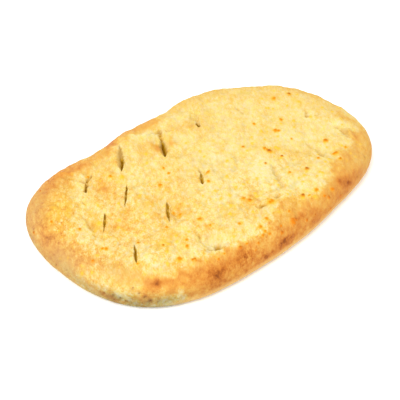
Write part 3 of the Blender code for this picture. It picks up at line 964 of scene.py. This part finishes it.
def browning(points, normals):
    """How browned the crust is: 0 is pale, 1 is dark brown."""
    height = points[:, 2]
    inside = np.where(is_within(points[:, :2]), distance_inside(points[:, :2]), 0)
    drift = fractal_values(points, *DRIFT_NOISE)
    wander = fractal_values(points, *WANDER_NOISE)
    inside = np.maximum(inside + RIM_WANDER * drift, 0)
    faded = (inside / around_rim(points, "reach") - RIM_FULL) / (1 - RIM_FULL)
    upper = around_rim(points, "upper") * (1 - smooth_step(faded))
    wall = around_rim(points, "wall")
    level = wall + (upper - wall) * smooth_step((height - WALL_TOP) / WALL_BLEND)
    seen = smooth_step((normals @ BACK - SEEN_FROM) / SEEN_RUN)
    level = level * (1 + DRIFT_SHARE * drift) + area_weight(points, seen, wander)
    foot = smooth_step((PALE_TOP - height) / PALE_FADE)
    level = level * (1 - foot * around_rim(points, "pale"))
    return TOP_BROWNING + level + patch_weight(points, BROWN_PATCHES)


def mottling(points):
    """How strongly the crust is mottled: least at the far right end, most at the near left."""
    toward = (points[:, 0] * MOTTLE_WAY[0] + points[:, 1] * MOTTLE_WAY[1]) / MOTTLE_RUN
    return MOTTLE_MIDDLE - MOTTLE_CHANGE * np.clip(toward, -1, 1) - patch_weight(points, CALM_PATCHES)


# Mesh


def lattice(spacing):
    """Points of a triangular lattice that covers the loaf."""
    reach = np.abs(COARSE_LINE).max(axis=0)
    rows = int(reach[1] / spacing / ROW_SPACING) + 1
    columns = int(reach[0] / spacing) + 1
    row, column = np.mgrid[-rows : rows + 1, -columns : columns + 1]
    x = (column + (row % 2) / 2) * spacing
    return np.column_stack([x.ravel(), (row * spacing * ROW_SPACING).ravel()])


def thinned(points):
    """The points without those that fall in the same small cell."""
    cells = np.round(points / ROUND_TO).astype(int)
    return points[np.sort(np.unique(cells, axis=0, return_index=True)[1])]


def cleared(points, features, radius):
    """The points that lie at least this far from every feature point."""
    taken = {}
    for spot in features:
        taken.setdefault((int(spot[0] // radius), int(spot[1] // radius)), []).append(spot)
    kept = []
    for spot in points:
        column, row = int(spot[0] // radius), int(spot[1] // radius)
        close = [
            other
            for i in (-1, 0, 1)
            for j in (-1, 0, 1)
            for other in taken.get((column + i, row + j), ())
        ]
        if not any((spot[0] - o[0]) ** 2 + (spot[1] - o[1]) ** 2 < radius**2 for o in close):
            kept.append(spot)
    return np.array(kept)


def side_rings(line):
    """Rings of the side, from the edge of the underside up to the collar where the top begins."""
    inward = inward_normals(line)
    rings = []
    for angle in np.linspace(-90, 0, FOOT_STEPS, endpoint=False):
        inset = FOOT_INSET * (1 - math.cos(math.radians(angle)))
        height = WIDEST_HEIGHT * (1 + math.sin(math.radians(angle)))
        rings.append(np.column_stack([line + inward * inset, np.full(len(line), height)]))
    last = math.acos((1 - COLLAR_INSET / SHOULDER_WIDTH) ** (SHOULDER_FULLNESS / 2))
    for angle in np.linspace(0, last, COLLAR_STEPS + 1):
        share = 1 - math.cos(angle) ** (2 / SHOULDER_FULLNESS)
        ring = line + inward * SHOULDER_WIDTH * share
        inside = np.full(len(ring), SHOULDER_WIDTH * share)
        rings.append(np.column_stack([ring, top_height(ring, inside)]))
    return rings


def triangulated(border, inner):
    """Triangles that fill a closed line of points and use the points inside it."""
    flat = [Vector(p) for p in np.vstack([border, inner])]
    edges = [(i, (i + 1) % len(border)) for i in range(len(border))]
    return delaunay_2d_cdt(flat, edges, [], 1, SAME_POINT)[2]


def top_points(slit_rows, crease_rows, blister_rows):
    """Mesh points of the top inside the collar: the features' own, and the lattice between them."""
    slits = thinned(np.vstack(slit_rows))
    blisters = thinned(cleared(np.vstack(blister_rows), slits, SLIT_CLEARANCE))
    creases = cleared(np.vstack(crease_rows), np.vstack([slits, blisters]), FEATURE_CLEARANCE)
    features = np.vstack([slits, blisters, thinned(creases)])
    between = cleared(lattice(LATTICE), features, LATTICE * LATTICE_CLEARANCE)
    points = np.vstack([features, between])
    points = points[is_within(points)]
    return points[distance_inside(points) > COLLAR_INSET + LATTICE / 2]


def vertex_normals(points, faces):
    """Area-weighted normals of a triangle mesh."""
    a, b, c = (points[faces[:, k]] for k in range(3))
    facing = np.cross(b - a, c - a)
    normals = np.zeros_like(points)
    for k in range(3):
        for axis in range(3):
            normals[:, axis] += np.bincount(faces[:, k], facing[:, axis], len(points))
    return normals / (np.linalg.norm(normals, axis=1)[:, None] + 1e-12)


def crust_relief(points):
    """Lumps of the dough, pushed out along the normals, and how high the smaller ones stand."""
    relief, lump = np.zeros((2, len(points)))
    deeper = np.array((BACK[0], BACK[1], 0)) / math.hypot(BACK[0], BACK[1])
    places = points - np.outer(points @ deeper * (1 - 1 / GRAIN_STRETCH), deeper)
    for wavelength, rise, shift, share in CRUST_LUMPS:
        wave = noise_values(places, wavelength, shift)
        relief += rise * wave
        lump += share * wave
    return relief, lump


def under_points():
    """Mesh points of the flat underside."""
    points = lattice(UNDERSIDE_LATTICE)
    points = points[is_within(points)]
    return points[distance_inside(points) > FOOT_INSET + UNDERSIDE_LATTICE / 2]


def smooth_loaf(lines, blisters):
    """Points and triangles of the loaf before its slits, creases, blisters and lumps."""
    steps = np.linalg.norm(np.roll(COARSE_LINE, -1, axis=0) - COARSE_LINE, axis=1)
    count = int(steps.sum() / RIM_SPACING)
    rings = side_rings(outline_points(count))
    inner = top_points(
        [slit_points(slit) for slit in SLITS],
        [crease_points(line) for line in lines if line[:, 3].min() < MESHED_WIDTH],
        [blister_points(blister) for blister in blisters],
    )
    under = under_points()
    top = np.column_stack([inner, top_height(inner)])
    bottom = np.column_stack([under, np.zeros(len(under))])

    collar = (len(rings) - 1) * count
    first_under = len(rings) * count + len(inner)
    faces = []
    for ring in range(len(rings) - 1):
        low, high = ring * count, (ring + 1) * count
        for i in range(count):
            j = (i + 1) % count
            faces.append((low + i, low + j, high + j))
            faces.append((low + i, high + j, high + i))
    faces += [tuple(collar + i for i in face) for face in triangulated(rings[-1][:, :2], inner)]
    for face in triangulated(rings[0][:, :2], under):
        faces.append(tuple(i if i < count else first_under + i - count for i in reversed(face)))
    return np.vstack([*rings, top, bottom]), np.array(faces)


def place_fields(points, normals, lowered, cracked):
    """Values by which the material knows the places of the crust."""
    height = points[:, 2]
    return {
        "browning": browning(points, normals),
        "mottle": mottling(points),
        "yellow": patch_weight(points, YELLOW_PATCHES),
        # painted shade that dulls the side walls
        "dull_shade": patch_weight(points, DULL_SHADE_PATCHES),
        "speckle": patch_weight(points, SPECKLED_PATCHES),
        # crevice and groove: where the slits get their browner crust and painted shade
        "crevice": np.clip(cracked / CREVICE_FULL, 0, 1),
        "groove": np.clip((lowered - cracked) / GROOVE_FULL, 0, 1),
        "low": smooth_step((LOW_TOP - height) / LOW_FADE) * around_rim(points, "pale"),
        # painted shade of the front foot of the side
        "foot": smooth_step((FOOT_SHADE_TOP - height) / FOOT_SHADE_FADE) * around_rim(points, "foot"),
    }


def loaf_mesh():
    lines = crease_lines()
    blisters, tones = blister_list()
    points, faces = smooth_loaf(lines, blisters)
    normals = vertex_normals(points, faces)
    raised, toast, halo, char = raise_blisters(points, blisters, tones)
    pushed, hollow = press_creases(points, lines)
    upward = (normals[:, 2] > UPWARD_FACING) & (points[:, 2] > WIDEST_HEIGHT)
    lowered, cracked, lips = (values * upward for values in cut_slits(points[:, :2]))
    lumps, lump = crust_relief(points)
    lumps *= RIM_CALM + (1 - RIM_CALM) * smooth_step(normals[:, 2] * CALM_SLOPE - CALM_START)
    fields = place_fields(points, normals, lowered, cracked)
    fields.update(toast=toast, halo=halo, char=char, hollow=hollow, lump=lump)

    free = smooth_step(points[:, 2] / FREE_HEIGHT)[:, None]
    points = points + normals * (lumps + raised - pushed + lips)[:, None] * free
    points[:, 2] = np.maximum(points[:, 2] - lowered, 0)

    mesh = bpy.data.meshes.new("loaf_crust")
    mesh.from_pydata((points * MM).tolist(), [], faces.tolist())
    for name, values in fields.items():
        layer = mesh.attributes.new(name, "FLOAT", "POINT")
        layer.data.foreach_set("value", values.astype(np.float32))
    mesh.shade_smooth()
    mesh.validate()
    return mesh


# Materials


def srgb(red, green, blue):
    """Scene colour of a screen colour given from 0 to 255."""
    values = [v / 255 for v in (red, green, blue)]
    linear = [v / 12.92 if v <= 0.04045 else ((v + 0.055) / 1.055) ** 2.4 for v in values]
    return (*linear, 1.0)


class Tree:
    """Short calls for building a material's nodes."""

    def __init__(self, name):
        self.material = bpy.data.materials.new(name)
        self.material.use_nodes = True
        self.nodes = self.material.node_tree.nodes
        self.links = self.material.node_tree.links
        self.shader = self.nodes["Principled BSDF"]

    def put(self, target, value):
        if isinstance(value, bpy.types.NodeSocket):
            self.links.new(value, target)
        else:
            target.default_value = value

    def field(self, name):
        node = self.nodes.new("ShaderNodeAttribute")
        node.attribute_name = name
        return node.outputs["Fac"]

    def place(self, turn, stretch):
        """Place on the object, turned about Z in degrees and then stretched along its own Y."""
        rotate = self.nodes.new("ShaderNodeVectorRotate")
        rotate.rotation_type = "Z_AXIS"
        rotate.inputs["Angle"].default_value = math.radians(-turn)
        self.put(rotate.inputs["Vector"], self.nodes.new("ShaderNodeTexCoord").outputs["Object"])
        scale = self.nodes.new("ShaderNodeVectorMath")
        scale.operation = "MULTIPLY"
        self.put(scale.inputs[0], rotate.outputs[0])
        scale.inputs[1].default_value = (1, 1 / stretch, 1)
        return scale.outputs[0]

    def shifted(self, place, offset):
        shift = self.nodes.new("ShaderNodeVectorMath")
        shift.operation = "ADD"
        self.put(shift.inputs[0], place)
        shift.inputs[1].default_value = [offset * part for part in SHIFT_WAY]
        return shift.outputs[0]

    def noise(self, place, size, detail, roughness, offset):
        """Noise of this grain size in millimetres, from 0 to 1."""
        node = self.nodes.new("ShaderNodeTexNoise")
        self.put(node.inputs["Vector"], self.shifted(place, offset))
        node.inputs["Scale"].default_value = 1 / (size * MM)
        node.inputs["Detail"].default_value = detail
        node.inputs["Roughness"].default_value = roughness
        return node.outputs["Fac"]

    def cells(self, place, size):
        """Distance from the middles of cells of this size in millimetres."""
        node = self.nodes.new("ShaderNodeTexVoronoi")
        self.put(node.inputs["Vector"], place)
        node.inputs["Scale"].default_value = 1 / (size * MM)
        return node.outputs["Distance"]

    def math(self, operation, first, second, third=0.0, clamp=False):
        node = self.nodes.new("ShaderNodeMath")
        node.operation = operation
        node.use_clamp = clamp
        for socket, value in zip(node.inputs, (first, second, third)):
            self.put(socket, value)
        return node.outputs[0]

    def times(self, first, second, clamp=False):
        return self.math("MULTIPLY", first, second, clamp=clamp)

    def swings(self, parts):
        """Sum of values, each measured from its middle and multiplied by its amount."""
        total = 0.0
        for value, middle, amount in parts:
            total = self.math("MULTIPLY_ADD", self.math("SUBTRACT", value, middle), amount, total)
        return total

    def fit(self, value, low, high, new_low=0.0, new_high=1.0):
        """The value carried smoothly from one range onto another."""
        node = self.nodes.new("ShaderNodeMapRange")
        node.interpolation_type = "SMOOTHSTEP"
        names = ("From Min", "From Max", "To Min", "To Max")
        for name, number in zip(names, (low, high, new_low, new_high)):
            node.inputs[name].default_value = number
        self.put(node.inputs["Value"], value)
        return node.outputs["Result"]

    def ramp(self, value, stops):
        node = self.nodes.new("ShaderNodeValToRGB")
        elements = node.color_ramp.elements
        elements[0].position, elements[0].color = stops[0]
        elements[-1].position, elements[-1].color = stops[-1]
        for position, color in stops[1:-1]:
            elements.new(position).color = color
        self.put(node.inputs["Fac"], value)
        return node.outputs["Color"]

    def mix(self, share, first, second, blend="MIX"):
        node = self.nodes.new("ShaderNodeMix")
        node.data_type = "RGBA"
        node.blend_type = blend
        self.put(node.inputs[0], share)
        self.put(node.inputs[6], first)
        self.put(node.inputs[7], second)
        return node.outputs[2]

    def bump(self, height, distance, strength, normal):
        node = self.nodes.new("ShaderNodeBump")
        node.inputs["Distance"].default_value = distance * MM
        node.inputs["Strength"].default_value = strength
        self.put(node.inputs["Height"], height)
        if normal is not None:
            self.put(node.inputs["Normal"], normal)
        return node.outputs["Normal"]


# Tones of the crust from pale to dark brown: level, screen colour
CRUST_TONES = (
    (0.00, (218, 203, 156)),
    (0.16, (217, 195, 138)),
    (0.32, (213, 178, 107)),
    (0.46, (209, 161, 80)),
    (0.60, (203, 142, 63)),
    (0.75, (190, 119, 47)),
    (0.88, (170, 97, 32)),
    (1.00, (132, 68, 18)),
)

# Noises of the crust: size in millimetres, detail, roughness, shift of the noise
GRAIN = {
    "broad": (16, 2, 0.55, 0.0),
    "patchy": (5.5, 3, 0.6, 0.3),
    "network": (2.6, 3, 0.6, 0.7),
    "fine": (1.1, 2, 0.6, 1.1),
    "butter": (3.0, 4, 0.8, 4.3),
    "pores": (0.55, 2, 0.6, 1.9),
}
SHIFT_WAY = (1, 0.7, 0.3)  # parts of a shift along X, Y and Z
CELL_SIZE = 3.4
PIT_SPACING = 4.0
DOTS = ((4.6, 0.0), (3.1, 8.0))  # spacing, shift of the cells

# How the noises mottle the crust: noise, its middle, amount
COARSE_MOTTLE = (("broad", 0.5, 0.36), ("patchy", 0.5, 0.36), ("network", 0.5, 0.27))
FINE_MOTTLE = (("cells", 0.45, 0.30), ("fine", 0.5, 0.66))
LUMP_SHARE = 0.08

# Bump: noise, distance in millimetres, strength
BUMPS = (("network", 0.7, 0.8), ("fine", 0.5, 0.9), ("pores", 0.2, 0.7))

# Screen colours laid over the crust
YELLOW_PATCH = srgb(216, 176, 60)
YELLOW_DOT = srgb(220, 174, 48)
# painted shade that dulls and greys the side walls
DULL_SHADE = srgb(177, 151, 98)
HALO = srgb(222, 178, 40)
TOASTED_ON_BROWN = srgb(212, 120, 4)
TOASTED_ON_PALE = srgb(216, 130, 0)
CHARRED = srgb(128, 54, 26)
# creases: their greyer dough, and painted shade where they lie deep
CREASE_SIDE_TONE_AND_SHADE = srgb(198, 156, 74)
CREASE_BOTTOM_TONE_AND_SHADE = srgb(180, 134, 16)
# slits: painted shade in the open groove, and in the crack a browner crust darkened with painted shade deeper
# in
GROOVE_SHADE = srgb(166, 126, 56)
CRACK_SIDE_TONE_AND_SHADE = srgb(188, 146, 32)
CRACK_BOTTOM_TONE_AND_SHADE = srgb(164, 116, 6)
FOOT_PIT = srgb(104, 72, 24)
PALE_FOOT = srgb(214, 171, 102)

# Tints that multiply the colour of the crust: the buttery film, and the painted shade of what lies low
# between the lumps and of the front foot
BUTTER = (1.0, 0.965, 0.52, 1)
# painted shade of what lies low between the lumps, on pale and on browned crust
LOW_SHADE_ON_PALE = (0.80, 0.76, 0.74, 1)
LOW_SHADE_ON_BROWN = (0.90, 0.77, 0.62, 1)
# painted shade of the front foot
PAINTED_FOOT_SHADE = (0.38, 0.50, 0.85, 1)

# Ranges over which one value takes effect over another: from, to, and the effect at each end where it
# isn't 0 and 1
LIVELY_OVER_MOTTLE = (0.5, 1.4, 0.5, 1.35)
FINE_OVER_BROWNING = (0.3, 0.6, 1.0, 0.45)
BUTTER_OVER_NOISE = (0.38, 0.64)
BUTTER_OVER_BROWNING = (0.3, 0.6, 1.0, 0.3)
YELLOW_OVER_NOISE = (0.35, 0.6)
DOTS_OVER_MOTTLE = (0.95, 1.3)
DOTS_OVER_NOISE = (0.42, 0.6)
DOTS_OVER_BROWNING = (0.55, 0.4)
DOT_EDGE = (0.24, 0.08)
LOW_SHADE_OVER_HEIGHT = (0.05, -0.75)
WARM_OVER_BROWNING = (0.2, 0.38)
PALER_OVER_BROWNING = (0.65, 0.3)
CREASE_SIDE_OVER_HOLLOW = (0.0, 0.6, 0.0, 0.75)
CREASE_BOTTOM_OVER_HOLLOW = (0.4, 0.85)
CRACK_SIDE_OVER_CREVICE = (0.0, 0.4)
CRACK_BOTTOM_OVER_CREVICE = (0.3, 0.9)
FOOT_SHADE_OVER_NOISE = (0.3, 0.6, 0.7, 1.0)
FOOT_PIT_EDGE = (0.16, 0.06)
ROUGHNESS_OVER_LEVEL = (0.1, 0.8, 0.78, 0.52)

# How strongly a colour or tint covers what is under it
YELLOW_STRENGTH, DOT_STRENGTH, HALO_STRENGTH = 0.95, 0.7, 0.9
LOW_SHADE_STRENGTH, GROOVE_SHADE_STRENGTH, PALE_FOOT_STRENGTH = 0.6, 0.85, 0.85
FINE_IN_LOW_SHADE = 1.6  # how much the fine noise adds to the lumps, to find what lies low

# Shine of the crust and of the floor
SPECULAR = 0.1


def mottled_level(tree, grain, lively):
    """How browned each spot is, with the mottling of the crust."""
    coarse = tree.swings([(grain[name], middle, amount) for name, middle, amount in COARSE_MOTTLE])
    fine = tree.swings([(grain[name], middle, amount) for name, middle, amount in FINE_MOTTLE])
    fine = tree.math("MULTIPLY_ADD", tree.field("lump"), LUMP_SHARE, fine)
    fine = tree.times(fine, lively)
    fine = tree.times(fine, tree.fit(tree.field("browning"), *FINE_OVER_BROWNING))
    fine = tree.math("MULTIPLY_ADD", fine, tree.field("speckle"), fine)
    mottle = tree.math("ADD", coarse, fine)
    return tree.math("MULTIPLY_ADD", mottle, tree.field("mottle"), tree.field("browning"), clamp=True)


def with_yellow(tree, place, grain, colour):
    """Lays the buttery film, the yellow patches and the small yellow dots over the colour."""
    butter = tree.fit(grain["butter"], *BUTTER_OVER_NOISE)
    butter = tree.times(butter, tree.fit(tree.field("browning"), *BUTTER_OVER_BROWNING))
    colour = tree.mix(butter, colour, BUTTER, "MULTIPLY")
    yellow = tree.times(tree.field("yellow"), tree.fit(grain["patchy"], *YELLOW_OVER_NOISE))
    colour = tree.mix(tree.times(yellow, YELLOW_STRENGTH, clamp=True), colour, YELLOW_PATCH)
    dotted = tree.fit(tree.field("mottle"), *DOTS_OVER_MOTTLE)
    dotted = tree.math("MAXIMUM", tree.fit(grain["broad"], *DOTS_OVER_NOISE), dotted)
    dotted = tree.times(dotted, tree.fit(tree.field("browning"), *DOTS_OVER_BROWNING))
    for size, offset in DOTS:
        dots = tree.fit(tree.cells(tree.shifted(place, offset), size), *DOT_EDGE)
        colour = tree.mix(tree.times(tree.times(dots, dotted), DOT_STRENGTH), colour, YELLOW_DOT)
    return colour


def with_painted_shade(tree, grain, lively, colour):
    """Paints shade on what lies low between the lumps, and dulls and greys the side walls with painted shade.
    """
    fine = tree.math("SUBTRACT", grain["fine"], 0.5)
    # painted shade: darker where the crust lies low between the lumps
    painted_low_shade = tree.math("MULTIPLY_ADD", fine, FINE_IN_LOW_SHADE, tree.field("lump"))
    painted_low_shade = tree.fit(painted_low_shade, *LOW_SHADE_OVER_HEIGHT)
    painted_low_shade = tree.times(painted_low_shade, tree.times(lively, LOW_SHADE_STRENGTH), clamp=True)
    warm = tree.fit(tree.field("browning"), *WARM_OVER_BROWNING)
    colour = tree.mix(painted_low_shade, colour, tree.mix(warm, LOW_SHADE_ON_PALE, LOW_SHADE_ON_BROWN), "MULTIPLY")
    # painted shade dulling the side walls
    return tree.mix(tree.field("dull_shade"), colour, DULL_SHADE)


def with_blisters(tree, colour):
    """Lays the yellow rings, the toasted domes and the charred tips over the colour."""
    paler = tree.fit(tree.field("browning"), *PALER_OVER_BROWNING)
    ringed = tree.times(tree.field("halo"), tree.times(paler, HALO_STRENGTH))
    colour = tree.mix(ringed, colour, HALO)
    toasted = tree.mix(paler, TOASTED_ON_BROWN, TOASTED_ON_PALE)
    colour = tree.mix(tree.field("toast"), colour, toasted)
    return tree.mix(tree.field("char"), colour, CHARRED)


def with_hollow_tone_and_shade(tree, colour):
    """Colours the insides of the creases and the slits, darker deeper in: partly their own greyer, browner
    crust, partly painted shade.
    """
    hollow, crevice = tree.field("hollow"), tree.field("crevice")
    # creases: their greyer dough, and painted shade deeper in
    colour = tree.mix(tree.fit(hollow, *CREASE_SIDE_OVER_HOLLOW), colour, CREASE_SIDE_TONE_AND_SHADE)
    # painted shade in the open groove of a slit
    colour = tree.mix(tree.times(tree.field("groove"), GROOVE_SHADE_STRENGTH), colour, GROOVE_SHADE)
    colour = tree.mix(tree.fit(hollow, *CREASE_BOTTOM_OVER_HOLLOW), colour, CREASE_BOTTOM_TONE_AND_SHADE)
    # the crack: browner crust, with painted shade deeper in
    colour = tree.mix(tree.fit(crevice, *CRACK_SIDE_OVER_CREVICE), colour, CRACK_SIDE_TONE_AND_SHADE)
    return tree.mix(tree.fit(crevice, *CRACK_BOTTOM_OVER_CREVICE), colour, CRACK_BOTTOM_TONE_AND_SHADE)


def with_foot_shade_and_pits(tree, place, grain, colour):
    """Paints shade on the front foot of the side and pits it, and pales the rest of it."""
    foot = tree.times(tree.field("foot"), tree.fit(grain["patchy"], *FOOT_SHADE_OVER_NOISE))
    # painted shade darkening the front foot
    colour = tree.mix(foot, colour, PAINTED_FOOT_SHADE, "MULTIPLY")
    pits = tree.fit(tree.cells(place, PIT_SPACING), *FOOT_PIT_EDGE)
    colour = tree.mix(tree.times(pits, tree.field("foot")), colour, FOOT_PIT)
    return tree.mix(tree.times(tree.field("low"), PALE_FOOT_STRENGTH), colour, PALE_FOOT)


def crust_material():
    tree = Tree("baked_crust")
    place = tree.place(math.degrees(SLIT_DIRECTION) - 90, GRAIN_STRETCH)
    grain = {name: tree.noise(place, *settings) for name, settings in GRAIN.items()}
    grain["cells"] = tree.cells(place, CELL_SIZE)
    lively = tree.fit(tree.field("mottle"), *LIVELY_OVER_MOTTLE)
    level = mottled_level(tree, grain, lively)
    colour = tree.ramp(level, [(at, srgb(*tone)) for at, tone in CRUST_TONES])
    colour = with_yellow(tree, place, grain, colour)
    colour = with_painted_shade(tree, grain, lively, colour)
    colour = with_blisters(tree, colour)
    colour = with_hollow_tone_and_shade(tree, colour)
    colour = with_foot_shade_and_pits(tree, place, grain, colour)

    normal = None
    for name, distance, strength in BUMPS:
        normal = tree.bump(grain[name], distance, strength, normal)
    tree.put(tree.shader.inputs["Base Color"], colour)
    tree.put(tree.shader.inputs["Roughness"], tree.fit(level, *ROUGHNESS_OVER_LEVEL))
    tree.put(tree.shader.inputs["Normal"], normal)
    tree.shader.inputs["Specular IOR Level"].default_value = SPECULAR
    return tree.material


def floor_material():
    tree = Tree("pale_floor")
    tree.shader.inputs["Base Color"].default_value = FLOOR_TONE
    tree.shader.inputs["Emission Color"].default_value = (1, 1, 1, 1)
    tree.shader.inputs["Emission Strength"].default_value = FLOOR_GLOW
    tree.shader.inputs["Roughness"].default_value = FLOOR_ROUGHNESS
    tree.shader.inputs["Specular IOR Level"].default_value = SPECULAR
    return tree.material


# Scene


def add_object(name, data):
    obj = bpy.data.objects.new(name, data)
    bpy.context.scene.collection.objects.link(obj)
    return obj


def build_loaf():
    mesh = loaf_mesh()
    mesh.materials.append(crust_material())
    loaf = add_object("loaf_crust", mesh)
    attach(loaf, "root")
    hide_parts("pizza_bread")


def build_floor():
    mesh = bpy.data.meshes.new("floor")
    corners = ((-1, -1), (1, -1), (1, 1), (-1, 1))
    places = [(x * FLOOR_HALF, y * FLOOR_HALF, -FLOOR_DROP) for x, y in corners]
    mesh.from_pydata(places, [], [(0, 1, 2, 3)])
    mesh.materials.append(floor_material())
    add_object("floor", mesh)


def build_camera():
    data = bpy.data.cameras.new("camera")
    data.lens = LENS
    data.sensor_width = SENSOR
    data.clip_start = CLIP_START
    data.clip_end = CLIP_END
    camera = add_object("camera", data)
    camera.location = Vector(EYE * MM)
    camera.rotation_euler = Vector(BACK).to_track_quat("Z", "Y").to_euler()
    bpy.context.scene.camera = camera


def add_softbox(name, azimuth, elevation, distance, size, power):
    """A square light that faces the loaf. Azimuth 0 shines from -Y."""
    turn, rise = math.radians(azimuth), math.radians(elevation)
    flat = math.cos(rise)
    away = Vector((math.sin(turn) * flat, -math.cos(turn) * flat, math.sin(rise)))
    data = bpy.data.lights.new(name, "AREA")
    data.shape = "SQUARE"
    data.size = size
    data.energy = power
    light = add_object(name, data)
    light.location = away * distance
    light.rotation_euler = away.to_track_quat("Z", "Y").to_euler()


def build_lights():
    world = bpy.data.worlds.new("studio")
    world.use_nodes = True
    background = world.node_tree.nodes["Background"]
    background.inputs["Color"].default_value = (1.0, 1.0, 1.0, 1)
    background.inputs["Strength"].default_value = WORLD_STRENGTH
    bpy.context.scene.world = world
    add_softbox("key_light", KEY_AZIMUTH, KEY_ELEVATION, KEY_DISTANCE, KEY_SIZE, KEY_POWER)


def set_view():
    settings = bpy.context.scene.view_settings
    settings.view_transform = "Standard"
    settings.look = "None"
    settings.exposure = 0
    settings.gamma = 1


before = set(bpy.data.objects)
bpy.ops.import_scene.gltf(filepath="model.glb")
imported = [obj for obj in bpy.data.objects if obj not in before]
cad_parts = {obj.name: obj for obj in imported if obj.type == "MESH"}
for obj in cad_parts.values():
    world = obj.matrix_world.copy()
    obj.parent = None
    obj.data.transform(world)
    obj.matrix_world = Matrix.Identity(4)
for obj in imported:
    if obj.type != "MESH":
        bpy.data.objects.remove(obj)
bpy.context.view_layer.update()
build_camera()
build_loaf()
build_floor()
build_lights()
set_view()
